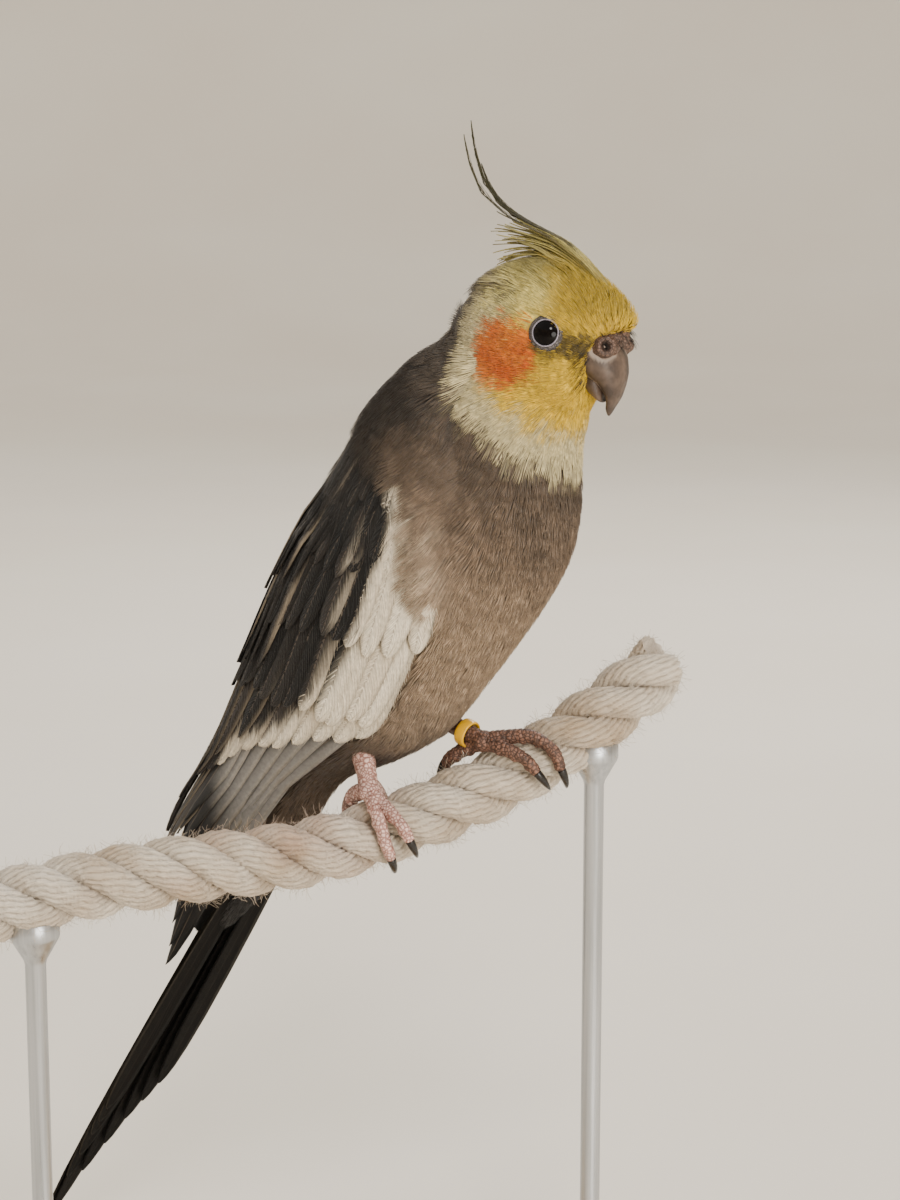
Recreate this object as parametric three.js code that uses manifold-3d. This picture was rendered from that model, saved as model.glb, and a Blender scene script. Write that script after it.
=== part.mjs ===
// A cockatiel, life size, perched on a cut length of rope that a plain stand holds.
// Millimetres, +Z up, the bird faces +X and its left side is +Y.
// The origin is the middle of the underside of the stand's base.

import * as THREE from "three";
import { mergeVertices } from "three/addons/utils/BufferGeometryUtils.js";
import Module from "manifold-3d";

const wasm = await Module();
wasm.setup();

const { CatmullRomCurve3, MathUtils, Vector2, Vector3 } = THREE;
const rad = MathUtils.degToRad;
const mix = MathUtils.lerp;

// Stand and place of the bird
const LIFT = 210;
const BIRD_X = 32;
const BIRD_Y = 13;
const BASE_LENGTH = 184;
const BASE_WIDTH = 108;
const BASE_THICK = 10;
const BASE_CORNER = 14;
const BASE_EDGE = 1.5;
const ROD_RADIUS = 2.6;
const ROD_FOOT_RADIUS = 8;
const ROD_FOOT_THICK = 2.4;
const ROD_CUP_RADIUS = 6.2;
const ROD_ALONG = { stand_rod_rear: -103, stand_rod_front: 41 };

// Gaps between pieces that touch, and what a cut leaves round a piece
const GAP = 0.3;
const CLEAR = 0.36;
const BILL_CLEAR = 0.62;
const SHORT_EDGE = 0.03;
const FLAT_SLIVER = 0.004;
const MEND_PASSES = 12;

// Perch: a three-strand rope, its middle given as [distance along, height]
const ROPE_HEADING = rad(45);
const ROPE_START = -2.9;
const ROPE_RADIUS = 8.75;
const ROPE_VALLEY = 7.3;
const ROPE_LEAD = 38;
const ROPE_RINGS = 40;
const ROPE_LINE = [
  [-117, -71.8], [-96, -68.2], [-70, -65.4], [-36, -63.3], [-18, -59.8],
  [0, -54.2], [16, -47.9], [32, -39.3], [48, -28.6], [60, -19.6],
];

// Trunk: [back x, back z, belly x, belly z, half width] at each station, neck to rump
const TRUNK = [
  [8.5, 72, 36.5, 51, 12.5], [3.9, 65.2, 37.6, 46, 15.5], [-0.8, 59.9, 35.4, 39.6, 18],
  [-7.7, 53.7, 34.6, 31.2, 21], [-15.5, 45.6, 33.9, 22.5, 24], [-23.4, 33.6, 31.2, 11, 26],
  [-30.9, 21.4, 23.1, -2.8, 26.5], [-39, 7.7, 10.7, -19.4, 25.5],
  [-46.4, -6, -2, -34.8, 22.5], [-53.3, -19.8, -16.4, -43.6, 18.5],
  [-60.9, -35.1, -28.9, -48.5, 15], [-67.3, -47.5, -37.4, -56.6, 13],
];
// Tail coverts close over the roots of the tail feathers
const COVERTS = [
  [-70.4, -54.1, -44.7, -69.6, 11.5], [-70.6, -68, -52.6, -78.8, 11],
  [-72.4, -80.9, -60.8, -87.8, 11.5], [-76, -93.8, -70, -97.3, 11.5],
];
// The folded wings follow the trunk and run on above the tail
const CLOAK_END = [
  [-75.5, -59.5, -46, -72, 14], [-83, -73, -56, -88, 13.4], [-88.5, -91, -66, -103, 11.8],
  [-93.5, -106, -76, -114, 10], [-100.5, -122, -86, -128, 8.2],
];
const BODY_SIDES = 20;
const TRUNK_STEPS = 24;
const SKULL_STEPS = 12;
// Cuts that part head, neck, torso and tail: a place on each, and the slope of the line up through it
const NECK_CUT = { at: [20.5, 53], slope: rad(62) };
const CHEST_CUT = { at: [11.5, 40], slope: rad(65) };
const TAIL_CUT = { at: [-55, -51.5], slope: rad(59) };
const THIGH = { x: -16, y: 8, z: -26.5, radii: [15, 9.5, 11], lean: rad(42) };

// Head: the same five sizes at each station, nape to forehead
const SKULL = [
  [4.6, 68.4, 4.6, 63.6, 3.4], [6.6, 75, 6.2, 56.5, 9], [12.5, 80.6, 12, 51, 12.7],
  [20.5, 83.8, 20, 48.4, 14.5], [29, 84.5, 28.5, 47.2, 14.9], [37, 82.6, 35.8, 47.6, 13.7],
  [43, 79.2, 38.7, 53.5, 9.8], [47.4, 75.2, 42.6, 64.5, 7.2], [50, 72.2, 47.6, 68.6, 3.8],
];
const EYE_RADIUS = 4.4;
const EYE_PLACE = { station: 4.62, z: 69, sink: 3.3 };
const LID_RADIUS = 3.55;
const LID_THICK = 0.8;

// Bill: [ridge x, ridge z, edge x, edge z, half width]
const UPPER_BILL = [
  [38.5, 71, 33.5, 62.6, 6.8], [43.4, 69.2, 36.4, 59.8, 7.6], [46.6, 64.8, 39.2, 57.4, 7],
  [47.8, 59.4, 41.8, 55.6, 5.3], [46.8, 54, 43.2, 53, 3.2], [45, 50.6, 43, 50.4, 1.7],
];
const UPPER_TIP = [43.6, 48.6];
const LOWER_BILL = [
  [36, 58, 35.2, 53.2, 4.6], [38.6, 56.9, 38, 51.8, 4.9],
  [40.6, 55.1, 40.2, 51.2, 4.3], [41.9, 53.4, 41.6, 51.4, 2.7],
];
const LOWER_TIP = [42.4, 52.4];
const CERE = { x: 42.9, y: 4.6, z: 66.4, radius: 3.2 };
const BILL_SIDES = 10;
const NOSTRIL = { x: 45, y: 6.6, z: 67, radius: 0.95 };

// Crest: feathers from the forehead back over the crown, curling up at their tips
const CREST_ROOTS = { front: [43.6, 77.2], back: [30, 82.4], spread: 3 };
const CREST_LENGTHS = [30, 58, 54, 47, 40, 34, 29, 25, 22];
const CREST_SLOPES = [47, 38, 24, 38, 60, 82, 88].map(rad);
const CREST_HALVES = [1.1, 1.6, 1.6, 1.4, 1, 0.7, 0.3];
const CREST_THICK = 0.9;
const CREST_SPLAY = 0.03;

// Vanes of the wings: one row for each tier, each pair runs from belly side to back
const VANE_THICK = 0.6;
const MIN_ANGLE = rad(3);
const TIERS = [
  { count: 6, rootS: [8.0, 8.6], rootA: [118, 62], tipS: [14.8, 12.6], tipA: [91, 60],
    bend: 1.8, width: 6.4, rise: [2.0, 1.2], climb: 0.25, lean: 0.8, tip: 0.3 },
  { count: 6, rootS: [5.8, 6.8], rootA: [112, 30], tipS: [8.85, 11.9], tipA: [121, 32],
    bend: 1, width: 8.6, rise: [2.0, 2.6], climb: 0, lean: 0.6, tip: 0.5 },
  { count: 2, rootS: [7.0, 7.0], rootA: [30, 14], tipS: [12, 12.95], tipA: [21, 9],
    bend: 1, width: 9, rise: [2.2, 3.0], climb: 0, lean: 0.4, tip: 0.5 },
  { count: 6, rootS: [5.0, 5.6], rootA: [100, 20], tipS: [7.6, 9.6], tipA: [117, 20],
    bend: 1, width: 11, rise: [2.0, 3.8], climb: 0, lean: 0.6, tip: 0.5 },
  { count: 5, rootS: [4.1, 4.6], rootA: [86, 24], tipS: [6.2, 7.9], tipA: [106, 20],
    bend: 1, width: 12.5, rise: [2.2, 4.2], climb: 0, lean: 0.6, tip: 0.5 },
  { count: 4, rootS: [3.5, 3.8], rootA: [74, 34], tipS: [5.0, 6.3], tipA: [84, 24],
    bend: 1, width: 13, rise: [2.2, 4.2], climb: 0, lean: 0.5, tip: 0.55 },
];
// Core of a wing: edges as [station, back edge, belly edge] in degrees
const WING_EDGES = [
  [3.3, 44, 68], [4, 30, 76], [5, 16, 90], [6, 8, 112], [7, 5, 123],
  [8, 4, 122], [9, 4, 114], [10, 5, 104], [10.8, 7, 94], [11.4, 10, 82],
];
// Places along a feather where its vane is stepped, for long feathers and short ones
const LONG_STEPS = [0, 0.27, 0.56, 0.86, 1];
const SHORT_STEPS = [0, 0.42, 0.84, 1];
const LONG_SPAN = 3.5;
const ROOT_NARROW = 0.65;
const RISE_DONE = 0.6;
const WING_COLUMNS = 7;
const WING_THIN = 0.5;
const WING_RIM = [0.12, 0.88];
const WING_INNER = 1.4;
const WING_BULGE = 3.3;

// Tail feathers, middle pair first: how far each reaches from the root of the tail
const TAIL_ROOT = [-48.5, -57.5];
const TAIL_TIP = [-131.3, -192.6];
const TAIL_REACH = [158, 142, 131, 121, 114, 107];
const TAIL_HALF_WIDTH = [5.8, 6.4, 6.8, 7, 7, 6.8];
const TAIL_STEPS = [[0.06, 0.7], [0.3, 0.9], [0.55, 1], [0.8, 0.94], [0.94, 0.66], [1, 0.3]];
const TAIL_MIDDLE = 0.9;
const TAIL_FAN = 2.15;
const TAIL_LAYER = 0.98;
const TAIL_VANE_THICK = 0.66;

// Feet: toes wrap the rope, each as [along the rope, angle round it in degrees]
const TOE_RADIUS = 2.25;
const TOE_TAPER = [2.5, 2.25, 2.15, 1.8];
const CLAW_LENGTH = 7.6;
const CLAW_BEND = 6.4;
const CLAW_START = 0.5;
const CLAW_RADII = [1.3, 1.15, 0.75, 0.2];
const FEET = {
  right: {
    toes: [
      [[-15.8, 16], [-13.6, 46], [-11.6, 76], [-11, 96]],
      [[-15.8, 16], [-16.6, 52], [-16.8, 86], [-16.4, 112]],
      [[-15.8, 16], [-18.4, -26], [-20.4, -58], [-20.8, -84]],
      [[-15.8, 16], [-13.2, -26], [-11.6, -52], [-11, -74]],
    ],
    ankle: [-21, -9.5, -37], heel: [-18.6, -10.6, -42.6],
  },
  left: {
    toes: [
      [[16.4, 8], [21, 18], [25.8, 38], [28.4, 70], [27.8, 100]],
      [[16.4, 8], [19.4, 36], [22, 62], [22.8, 86]],
      [[16.4, 8], [11.6, -24], [8, -36], [6.2, -48]],
      [[16.4, 8], [18, -30], [19.4, -58], [19.4, -82]],
    ],
    ankle: [-9, 8.8, -30.5], heel: [-3.8, 9, -34.4],
  },
};
const PAD_RADIUS = 3.1;
const SHANK_RADIUS = 2.25;
const SHANK_TAPER = [3.5, 2.7, SHANK_RADIUS, SHANK_RADIUS];
const RING = { inner: 2.85, outer: 3.6, width: 3, along: 0.42 };

// Finishes
const FINISHES = {
  yellow_face: [0xe0c040, 0.85], grey_plumage: [0x7d7367, 0.85], wing_plumage: [0x5b554d, 0.8],
  tail_plumage: [0x2e2a28, 0.75], bill: [0x7a6a66, 0.5], eye: [0x0b0908, 0.1],
  foot_skin: [0xb08c84, 0.7], claw: [0x2a2625, 0.35], ring_plastic: [0xe6b014, 0.35],
  rope: [0xd8c7ac, 0.95], pale_wood: [0xcdb891, 0.55], steel: [0xb9bcc0, 0.35],
};

function finish(name) {
  const [color, roughness] = FINISHES[name];
  return new THREE.MeshStandardMaterial({ color, roughness, metalness: name === "steel" ? 1 : 0 });
}

// Closed meshes as solids, and solids as meshes
function solid(geometry) {
  const bare = new THREE.BufferGeometry();
  bare.setAttribute("position", geometry.getAttribute("position").clone());
  bare.setIndex(geometry.index);
  const merged = mergeVertices(bare, 1e-4);
  return new wasm.Manifold(new wasm.Mesh({
    numProp: 3,
    vertProperties: new Float32Array(merged.attributes.position.array),
    triVerts: new Uint32Array(merged.index.array),
  }));
}

function largest(shape) {
  const bodies = shape.decompose();
  return bodies.reduce((best, body) => (body.volume() > best.volume() ? body : best));
}

function joined(shapes) {
  return shapes.reduce((whole, shape) => whole.add(shape));
}

// Each directed edge of a mesh, with the corner that faces it and its triangle
function edgeTable(triangles) {
  const edges = new Map();
  triangles.forEach((corners, n) => corners.forEach((a, i) => {
    const [b, c] = [corners[(i + 1) % 3], corners[(i + 2) % 3]];
    edges.set(`${a} ${b}`, { a, b, c, n });
  }));
  return edges;
}

// Closes up the edges that unions leave too short, and turns the edge of each flat sliver
function mended(points, triangles) {
  const neighbours = points.map(() => new Set());
  triangles.forEach(([a, b, c]) => [[a, b], [b, c], [c, a]].forEach(([p, q]) => {
    neighbours[p].add(q);
    neighbours[q].add(p);
  }));
  const edges = edgeTable(triangles);
  const goes = new Map();
  const used = new Set();
  for (const { a, b } of edges.values()) {
    const shared = [...neighbours[a]].filter((p) => neighbours[b].has(p));
    const around = [a, b, ...neighbours[a], ...neighbours[b]];
    if (points[a].distanceTo(points[b]) < SHORT_EDGE && shared.length === 2 && !around.some((p) => used.has(p))) {
      around.forEach((p) => used.add(p));
      goes.set(b, a);
    }
  }
  const turned = triangles.map((corners) => corners.map((p) => goes.get(p) ?? p));
  for (const { a, b, c, n } of edges.values()) {
    const other = edges.get(`${b} ${a}`);
    const run = points[b].clone().sub(points[a]);
    const height = points[c].clone().sub(points[a]).cross(run).length() / run.length();
    const longest = Math.max(points[c].distanceTo(points[a]), points[c].distanceTo(points[b])) < run.length();
    const ring = [a, b, c, other.c];
    if (height < FLAT_SLIVER && longest && !neighbours[c].has(other.c) && !ring.some((p) => used.has(p))) {
      ring.forEach((p) => used.add(p));
      turned[n] = [a, other.c, c];
      turned[other.n] = [other.c, b, c];
    }
  }
  return { changed: used.size > 0, triangles: turned.filter(([a, b, c]) => a !== b && b !== c && c !== a) };
}

function named(name, shape, finishName) {
  const { vertProperties, triVerts } = largest(shape).getMesh();
  const points = Array.from({ length: vertProperties.length / 3 }, (_, i) => (
    new Vector3().fromArray(vertProperties, i * 3)
  ));
  let faces = { changed: true, triangles: [] };
  for (let i = 0; i < triVerts.length; i += 3) faces.triangles.push([...triVerts.slice(i, i + 3)]);
  for (let pass = 0; faces.changed && pass < MEND_PASSES; pass += 1) faces = mended(points, faces.triangles);
  const geometry = new THREE.BufferGeometry().setFromPoints(points);
  geometry.setIndex(faces.triangles.flat());
  const mesh = new THREE.Mesh(geometry, finish(finishName));
  mesh.name = name;
  return mesh;
}

// Triangles that enclose a volume, turned so that they face outwards
function closed(points, triangles) {
  let volume = 0;
  for (const [a, b, c] of triangles) {
    volume += points[a].dot(points[b].clone().cross(points[c]));
  }
  const index = triangles.flatMap(([a, b, c]) => (volume > 0 ? [a, b, c] : [a, c, b]));
  const geometry = new THREE.BufferGeometry().setFromPoints(points);
  geometry.setIndex(index);
  return solid(geometry);
}

// Rings of equal count skinned into one shape, closed by a point at each end
function loft(rings, tips = []) {
  const count = rings[0].length;
  const points = rings.flat();
  const triangles = [];
  for (let i = 0; i + 1 < rings.length; i += 1) {
    for (let j = 0; j < count; j += 1) {
      const k = (j + 1) % count;
      const [a, b, c, d] = [i * count + j, i * count + k, (i + 1) * count + k, (i + 1) * count + j];
      triangles.push([a, b, c], [a, c, d]);
    }
  }
  [rings[0], rings.at(-1)].forEach((ring, end) => {
    const middle = ring.reduce((sum, p) => sum.add(p), new Vector3()).divideScalar(count);
    points.push(tips[end] ?? middle);
    const first = end * (rings.length - 1) * count;
    for (let j = 0; j < count; j += 1) {
      const edge = [first + j, first + ((j + 1) % count)];
      triangles.push(end ? [edge[0], edge[1], points.length - 1] : [edge[1], edge[0], points.length - 1]);
    }
  });
  return closed(points, triangles);
}

// Two grids of points, an outer and an inner face split alike, closed along their rims
function slab(outer, inner) {
  const rows = outer.length;
  const columns = outer[0].length;
  const points = [...outer.flat(), ...inner.flat()];
  const lower = rows * columns;
  const at = (i, j) => i * columns + j;
  const triangles = [];
  for (let i = 0; i + 1 < rows; i += 1) {
    for (let j = 0; j + 1 < columns; j += 1) {
      const [a, b, c, d] = [at(i, j), at(i, j + 1), at(i + 1, j + 1), at(i + 1, j)];
      triangles.push([a, b, c], [a, c, d], [a + lower, c + lower, b + lower], [a + lower, d + lower, c + lower]);
    }
  }
  const rim = [];
  for (let j = 0; j < columns; j += 1) rim.push(at(0, j));
  for (let i = 1; i < rows; i += 1) rim.push(at(i, columns - 1));
  for (let j = columns - 2; j >= 0; j -= 1) rim.push(at(rows - 1, j));
  for (let i = rows - 2; i > 0; i -= 1) rim.push(at(i, 0));
  rim.forEach((a, n) => {
    const b = rim[(n + 1) % rim.length];
    triangles.push([a, a + lower, b + lower], [a, b + lower, b]);
  });
  return closed(points, triangles);
}

// A round shape along a smooth line, with its own radius at each step
function limb(places, radii, sides, steps = places.length * 2) {
  const curve = new CatmullRomCurve3(places);
  const frames = curve.computeFrenetFrames(steps);
  const rings = [];
  for (let i = 0; i <= steps; i += 1) {
    const along = (i / steps) * (radii.length - 1);
    const low = Math.min(Math.floor(along), radii.length - 2);
    const size = mix(radii[low], radii[low + 1], along - low);
    const middle = curve.getPointAt(i / steps);
    rings.push(Array.from({ length: sides }, (_, j) => {
      const turn = (j / sides) * Math.PI * 2;
      return middle.clone()
        .addScaledVector(frames.normals[i], size * Math.cos(turn))
        .addScaledVector(frames.binormals[i], size * Math.sin(turn));
    }));
  }
  return loft(rings);
}

// A body form read from a table of stations, smooth along it and oval round it.
// Angle 0 is the middle of the back, 180 degrees the middle of the belly, side -1 the right.
class Form {
  constructor(table, side = -1) {
    this.table = table;
    this.side = side;
  }

  sizes(station) {
    const last = this.table.length - 1;
    const i = Math.min(Math.max(Math.floor(station), 0), last - 1);
    const t = station - i;
    const [p, q, r, s] = [i - 1, i, i + 1, i + 2].map((n) => this.table[Math.min(Math.max(n, 0), last)]);
    return q.map((_, n) => 0.5 * (2 * q[n] + (r[n] - p[n]) * t
      + (2 * p[n] - 5 * q[n] + 4 * r[n] - s[n]) * t * t
      + (3 * q[n] - p[n] - 3 * r[n] + s[n]) * t * t * t));
  }

  point(station, angle, grow = 0) {
    const [dx, dz, vx, vz, w] = this.sizes(station);
    const half = new Vector2(dx - vx, dz - vz).multiplyScalar(0.5);
    half.setLength(half.length() + grow);
    const c = Math.cos(angle);
    return new Vector3(
      (dx + vx) / 2 + half.x * c,
      this.side * (w + grow) * Math.sin(angle),
      (dz + vz) / 2 + half.y * c,
    );
  }

  tangents(station, angle) {
    const e = 1e-3;
    const along = this.point(station + e, angle).sub(this.point(station - e, angle)).divideScalar(2 * e);
    const round = this.point(station, angle + e).sub(this.point(station, angle - e)).divideScalar(2 * e);
    const normal = round.clone().cross(along).multiplyScalar(-this.side).normalize();
    const [dx, dz, vx, vz] = this.sizes(station);
    const middle = new Vector3((dx + vx) / 2, 0, (dz + vz) / 2);
    if (normal.dot(this.point(station, angle).sub(middle)) < 0) normal.negate();
    return { along, round, normal };
  }

  raised(station, angle, rise) {
    return this.point(station, angle).addScaledVector(this.tangents(station, angle).normal, rise);
  }

  ring(station, sides, grow = 0) {
    return Array.from({ length: sides }, (_, j) => this.point(station, (j / sides) * Math.PI * 2, grow));
  }

  shape(steps, sides) {
    const last = this.table.length - 1;
    return loft(Array.from({ length: steps + 1 }, (_, i) => this.ring((last * i) / steps, sides)));
  }
}

const trunk = new Form([...TRUNK, ...COVERTS]);
const skull = new Form(SKULL);

// A block that takes all of a form on one side of a cut, headward or tailward of it
function beyond({ at, slope }, headward, drop = 0) {
  const block = new THREE.BoxGeometry(400, 400, 400);
  block.translate(headward ? 200 - drop : -200, 0, 0);
  block.rotateY(-slope);
  block.translate(at[0], 0, at[1]);
  return solid(block);
}

// A vane along a path of points, each with its side and face directions and half width
function vane(stations, thick) {
  const face = (sign) => stations.map(({ middle, across, normal, half }) => [-1, 1].map((j) => (
    middle.clone().addScaledVector(across, j * half).addScaledVector(normal, (sign * thick) / 2)
  )));
  return slab(face(1), face(-1));
}

// One feather laid on a wing's form, from its root to its tip
function wingFeather(form, tier, k) {
  const { count, rootS, rootA, tipS, tipA, bend, width, rise, climb, lean, tip } = tier;
  const t = k / (count - 1);
  const from = [mix(...rootS, t), rad(mix(...rootA, t))];
  const to = [mix(...tipS, t), rad(mix(...tipA, t ** bend))];
  const steps = to[0] - from[0] > LONG_SPAN ? LONG_STEPS : SHORT_STEPS;
  const outer = [];
  const inner = [];
  for (const u of steps) {
    const station = mix(from[0], to[0], u);
    const angle = mix(from[1], to[1], u);
    const { along, round, normal } = form.tangents(station, angle);
    const run = along.clone().multiplyScalar(to[0] - from[0]).addScaledVector(round, to[1] - from[1]);
    const across = run.cross(normal).normalize();
    const [aa, bb, ab] = [along.dot(along), round.dot(round), along.dot(round)];
    const [as, bs] = [along.dot(across), round.dot(across)];
    const det = aa * bb - ab * ab;
    const [moveS, moveA] = [(as * bb - bs * ab) / det, (bs * aa - as * ab) / det];
    const half = (width / 2) * (u === 1 ? tip : Math.min(ROOT_NARROW + u, 1));
    const height = mix(rise[0], rise[1], Math.min(u / RISE_DONE, 1)) + climb * k;
    const edge = [-1, 1].map((j) => {
      const s = station + j * half * moveS;
      const a = Math.max(angle + j * half * moveA, MIN_ANGLE);
      const roll = -j * form.side * lean;
      return [-1, 1].map((face) => form.raised(s, a, height + roll + (face * VANE_THICK) / 2));
    });
    outer.push(edge.map((pair) => pair[1]));
    inner.push(edge.map((pair) => pair[0]));
  }
  return slab(outer, inner);
}

function wingCore(form) {
  const faces = [1, 0].map((face) => WING_EDGES.map(([station, back, belly], i) => (
    Array.from({ length: WING_COLUMNS }, (_, j) => {
      const u = j / (WING_COLUMNS - 1);
      const ends = Math.sin(Math.PI * mix(...WING_RIM, i / (WING_EDGES.length - 1)));
      const swell = WING_BULGE * Math.sin(Math.PI * mix(...WING_RIM, u)) * ends;
      return form.raised(station, rad(mix(back, belly, u)), WING_INNER + (face ? WING_THIN + swell : 0));
    })
  )));
  return slab(faces[0], faces[1]);
}

function wing(side) {
  const form = new Form([...TRUNK, ...CLOAK_END], side);
  const feathers = TIERS.flatMap((tier) => (
    Array.from({ length: tier.count }, (_, k) => wingFeather(form, tier, k))
  ));
  return joined([wingCore(form), ...feathers]);
}

// Head
function crestFeather(length, k) {
  const { front, back, spread } = CREST_ROOTS;
  const t = k / (CREST_LENGTHS.length - 1);
  const lean = (k % 3) - 1;
  const curl = Math.min(length / CREST_LENGTHS[1], 1);
  const step = length / (CREST_SLOPES.length - 1);
  const across = new Vector3(0, 1, 0);
  const place = new Vector3(mix(front[0], back[0], t), lean * spread * mix(0.4, 1, t), mix(front[1], back[1], t));
  const stations = CREST_SLOPES.map((slope, i) => {
    const angle = mix(CREST_SLOPES[2], slope, i < 3 ? 1 - t : curl);
    const run = new Vector3(-Math.cos(angle), lean * CREST_SPLAY, Math.sin(angle));
    const normal = run.clone().cross(across).normalize();
    const station = { middle: place.clone(), across, normal, half: CREST_HALVES[i] };
    place.addScaledVector(run, step);
    return station;
  });
  return vane(stations, CREST_THICK);
}

function eyeSite(side) {
  const form = new Form(SKULL, side);
  const { station } = EYE_PLACE;
  const [, dz, , vz] = form.sizes(station);
  const angle = Math.acos((EYE_PLACE.z - (dz + vz) / 2) / ((dz - vz) / 2));
  const { normal } = form.tangents(station, angle);
  const surface = form.point(station, angle);
  return { surface, normal, middle: surface.clone().addScaledVector(normal, -EYE_PLACE.sink) };
}

function eyeBall(side, grow = 0) {
  const ball = new THREE.SphereGeometry(EYE_RADIUS + grow, 16, 10);
  const { middle } = eyeSite(side);
  ball.translate(middle.x, middle.y, middle.z);
  return solid(ball);
}

function lids(side) {
  const { surface, normal } = eyeSite(side);
  const ring = new THREE.TorusGeometry(LID_RADIUS, LID_THICK, 5, 16);
  ring.applyQuaternion(new THREE.Quaternion().setFromUnitVectors(new Vector3(0, 0, 1), normal));
  ring.translate(surface.x, surface.y, surface.z);
  return solid(ring);
}

function bill(table, tip, grow = 0) {
  const form = new Form(table);
  const rings = [];
  const steps = (table.length - 1) * 2;
  for (let i = 0; i <= steps; i += 1) rings.push(form.ring(i ? i / 2 : -grow / 4, BILL_SIDES, grow));
  const point = new Vector3(tip[0], 0, tip[1]);
  const end = rings.at(-1).reduce((sum, p) => sum.add(p), new Vector3()).divideScalar(BILL_SIDES);
  point.addScaledVector(point.clone().sub(end).normalize(), grow);
  return loft(rings, [undefined, point]);
}

function ball({ x, y, z, radius }, side, grow = 0) {
  const shape = new THREE.SphereGeometry(radius + grow, 12, 8);
  shape.translate(x, side * y, z);
  return solid(shape);
}

// The upper bill carries the cere, a soft swelling round each nostril
function upperBill(grow = 0) {
  const horn = joined([bill(UPPER_BILL, UPPER_TIP, grow), ball(CERE, -1, grow / 2), ball(CERE, 1, grow / 2)]);
  return [-1, 1].reduce((shape, side) => (grow ? shape : shape.subtract(ball(NOSTRIL, side))), horn);
}

function thigh(side) {
  const bulk = new THREE.SphereGeometry(1, 16, 12);
  bulk.scale(...THIGH.radii);
  bulk.rotateY(THIGH.lean);
  bulk.translate(THIGH.x, side * THIGH.y, THIGH.z);
  return solid(bulk);
}

// Tail feathers lie in a stack, the middle pair on top
function tailFeather(pair, side) {
  const root = new Vector3(TAIL_ROOT[0], 0, TAIL_ROOT[1]);
  const run = new Vector3(TAIL_TIP[0], 0, TAIL_TIP[1]).sub(root).normalize();
  const top = new Vector3(run.z, 0, -run.x);
  const reach = TAIL_REACH[pair];
  const layer = (2 - pair) * TAIL_LAYER - (side > 0 ? TAIL_LAYER / 2 : 0);
  const stations = TAIL_STEPS.map(([u, wide]) => {
    const out = side * (TAIL_MIDDLE + pair * TAIL_FAN * mix(0.55, 1, u));
    const half = TAIL_HALF_WIDTH[pair] * wide;
    const middle = root.clone().addScaledVector(run, reach * u).addScaledVector(top, layer);
    middle.y = out;
    return { middle, across: new Vector3(0, 1, 0), normal: top, half };
  });
  return vane(stations, TAIL_VANE_THICK);
}

// Rope
const ropeCurve = new CatmullRomCurve3(ROPE_LINE.map(([s, z]) => new Vector3(
  ROPE_START + s * Math.cos(ROPE_HEADING), s * Math.sin(ROPE_HEADING), z,
)));
const ropeAcross = new Vector3(Math.sin(ROPE_HEADING), -Math.cos(ROPE_HEADING), 0);

// Place on the rope: distance along it from the mark between the feet, and its axes there
function ropeSite(s) {
  const span = ROPE_LINE.at(-1)[0] - ROPE_LINE[0][0];
  let u = (s - ROPE_LINE[0][0]) / span;
  const flat = new Vector2(Math.cos(ROPE_HEADING), Math.sin(ROPE_HEADING));
  for (let n = 0; n < 12; n += 1) {
    const p = ropeCurve.getPointAt(MathUtils.clamp(u, 0, 1));
    u += (s - ((p.x - ROPE_START) * flat.x + p.y * flat.y)) / span;
  }
  u = MathUtils.clamp(u, 0, 1);
  const along = ropeCurve.getTangentAt(u);
  const middle = ropeCurve.getPointAt(u);
  return { middle, along, across: ropeAcross, up: ropeAcross.clone().cross(along).normalize() };
}

function onRope(s, angle, radius) {
  const { middle, across, up } = ropeSite(s);
  return middle.clone()
    .addScaledVector(up, radius * Math.cos(angle))
    .addScaledVector(across, radius * Math.sin(angle));
}

function rope(grow = 0) {
  const rings = [];
  const lobes = [1, 0.35, 0, 0.35];
  for (let i = 0; i <= ROPE_RINGS; i += 1) {
    const u = i / ROPE_RINGS;
    const middle = ropeCurve.getPointAt(u);
    const along = ropeCurve.getTangentAt(u);
    const up = ropeAcross.clone().cross(along).normalize();
    const turn = (u * ropeCurve.getLength() / ROPE_LEAD) * Math.PI * 2;
    rings.push(Array.from({ length: 12 }, (_, j) => {
      const size = mix(ROPE_RADIUS, ROPE_VALLEY, lobes[(j + 2) % 4]) + grow;
      const angle = turn + (j / 12) * Math.PI * 2;
      return middle.clone()
        .addScaledVector(up, size * Math.cos(angle))
        .addScaledVector(ropeAcross, size * Math.sin(angle));
    }));
  }
  return loft(rings);
}

// Feet
const TOE_RISE = ROPE_RADIUS + TOE_RADIUS + CLEAR;

function hub(data) {
  const [s, angle] = data.toes[0][0];
  return onRope(s, rad(angle) / 2, TOE_RISE + 0.5);
}

function toe(data, path, grow) {
  const places = path.map(([s, angle], i) => (i === 0 ? hub(data) : onRope(s, rad(angle), TOE_RISE)));
  return limb(places, TOE_TAPER.map((r) => r + grow), 7, 6);
}

// A claw runs on from its toe and hooks inwards on an arc
function claw(path) {
  const [before, end] = path.slice(-2).map(([s, angle]) => onRope(s, rad(angle), TOE_RISE));
  const run = end.clone().sub(before).normalize();
  const [s, angle] = path.at(-1);
  const inward = ropeSite(s).middle.sub(onRope(s, rad(angle), 1)).normalize();
  inward.addScaledVector(run, -inward.dot(run)).normalize();
  const places = [0, 1 / 3, 2 / 3, 1].map((u) => {
    const turn = (CLAW_LENGTH * u) / CLAW_BEND;
    return end.clone()
      .addScaledVector(run, CLAW_START + CLAW_BEND * Math.sin(turn))
      .addScaledVector(inward, CLAW_BEND * (1 - Math.cos(turn)) - 0.2);
  });
  return limb(places, CLAW_RADII, 6, 4);
}

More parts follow.
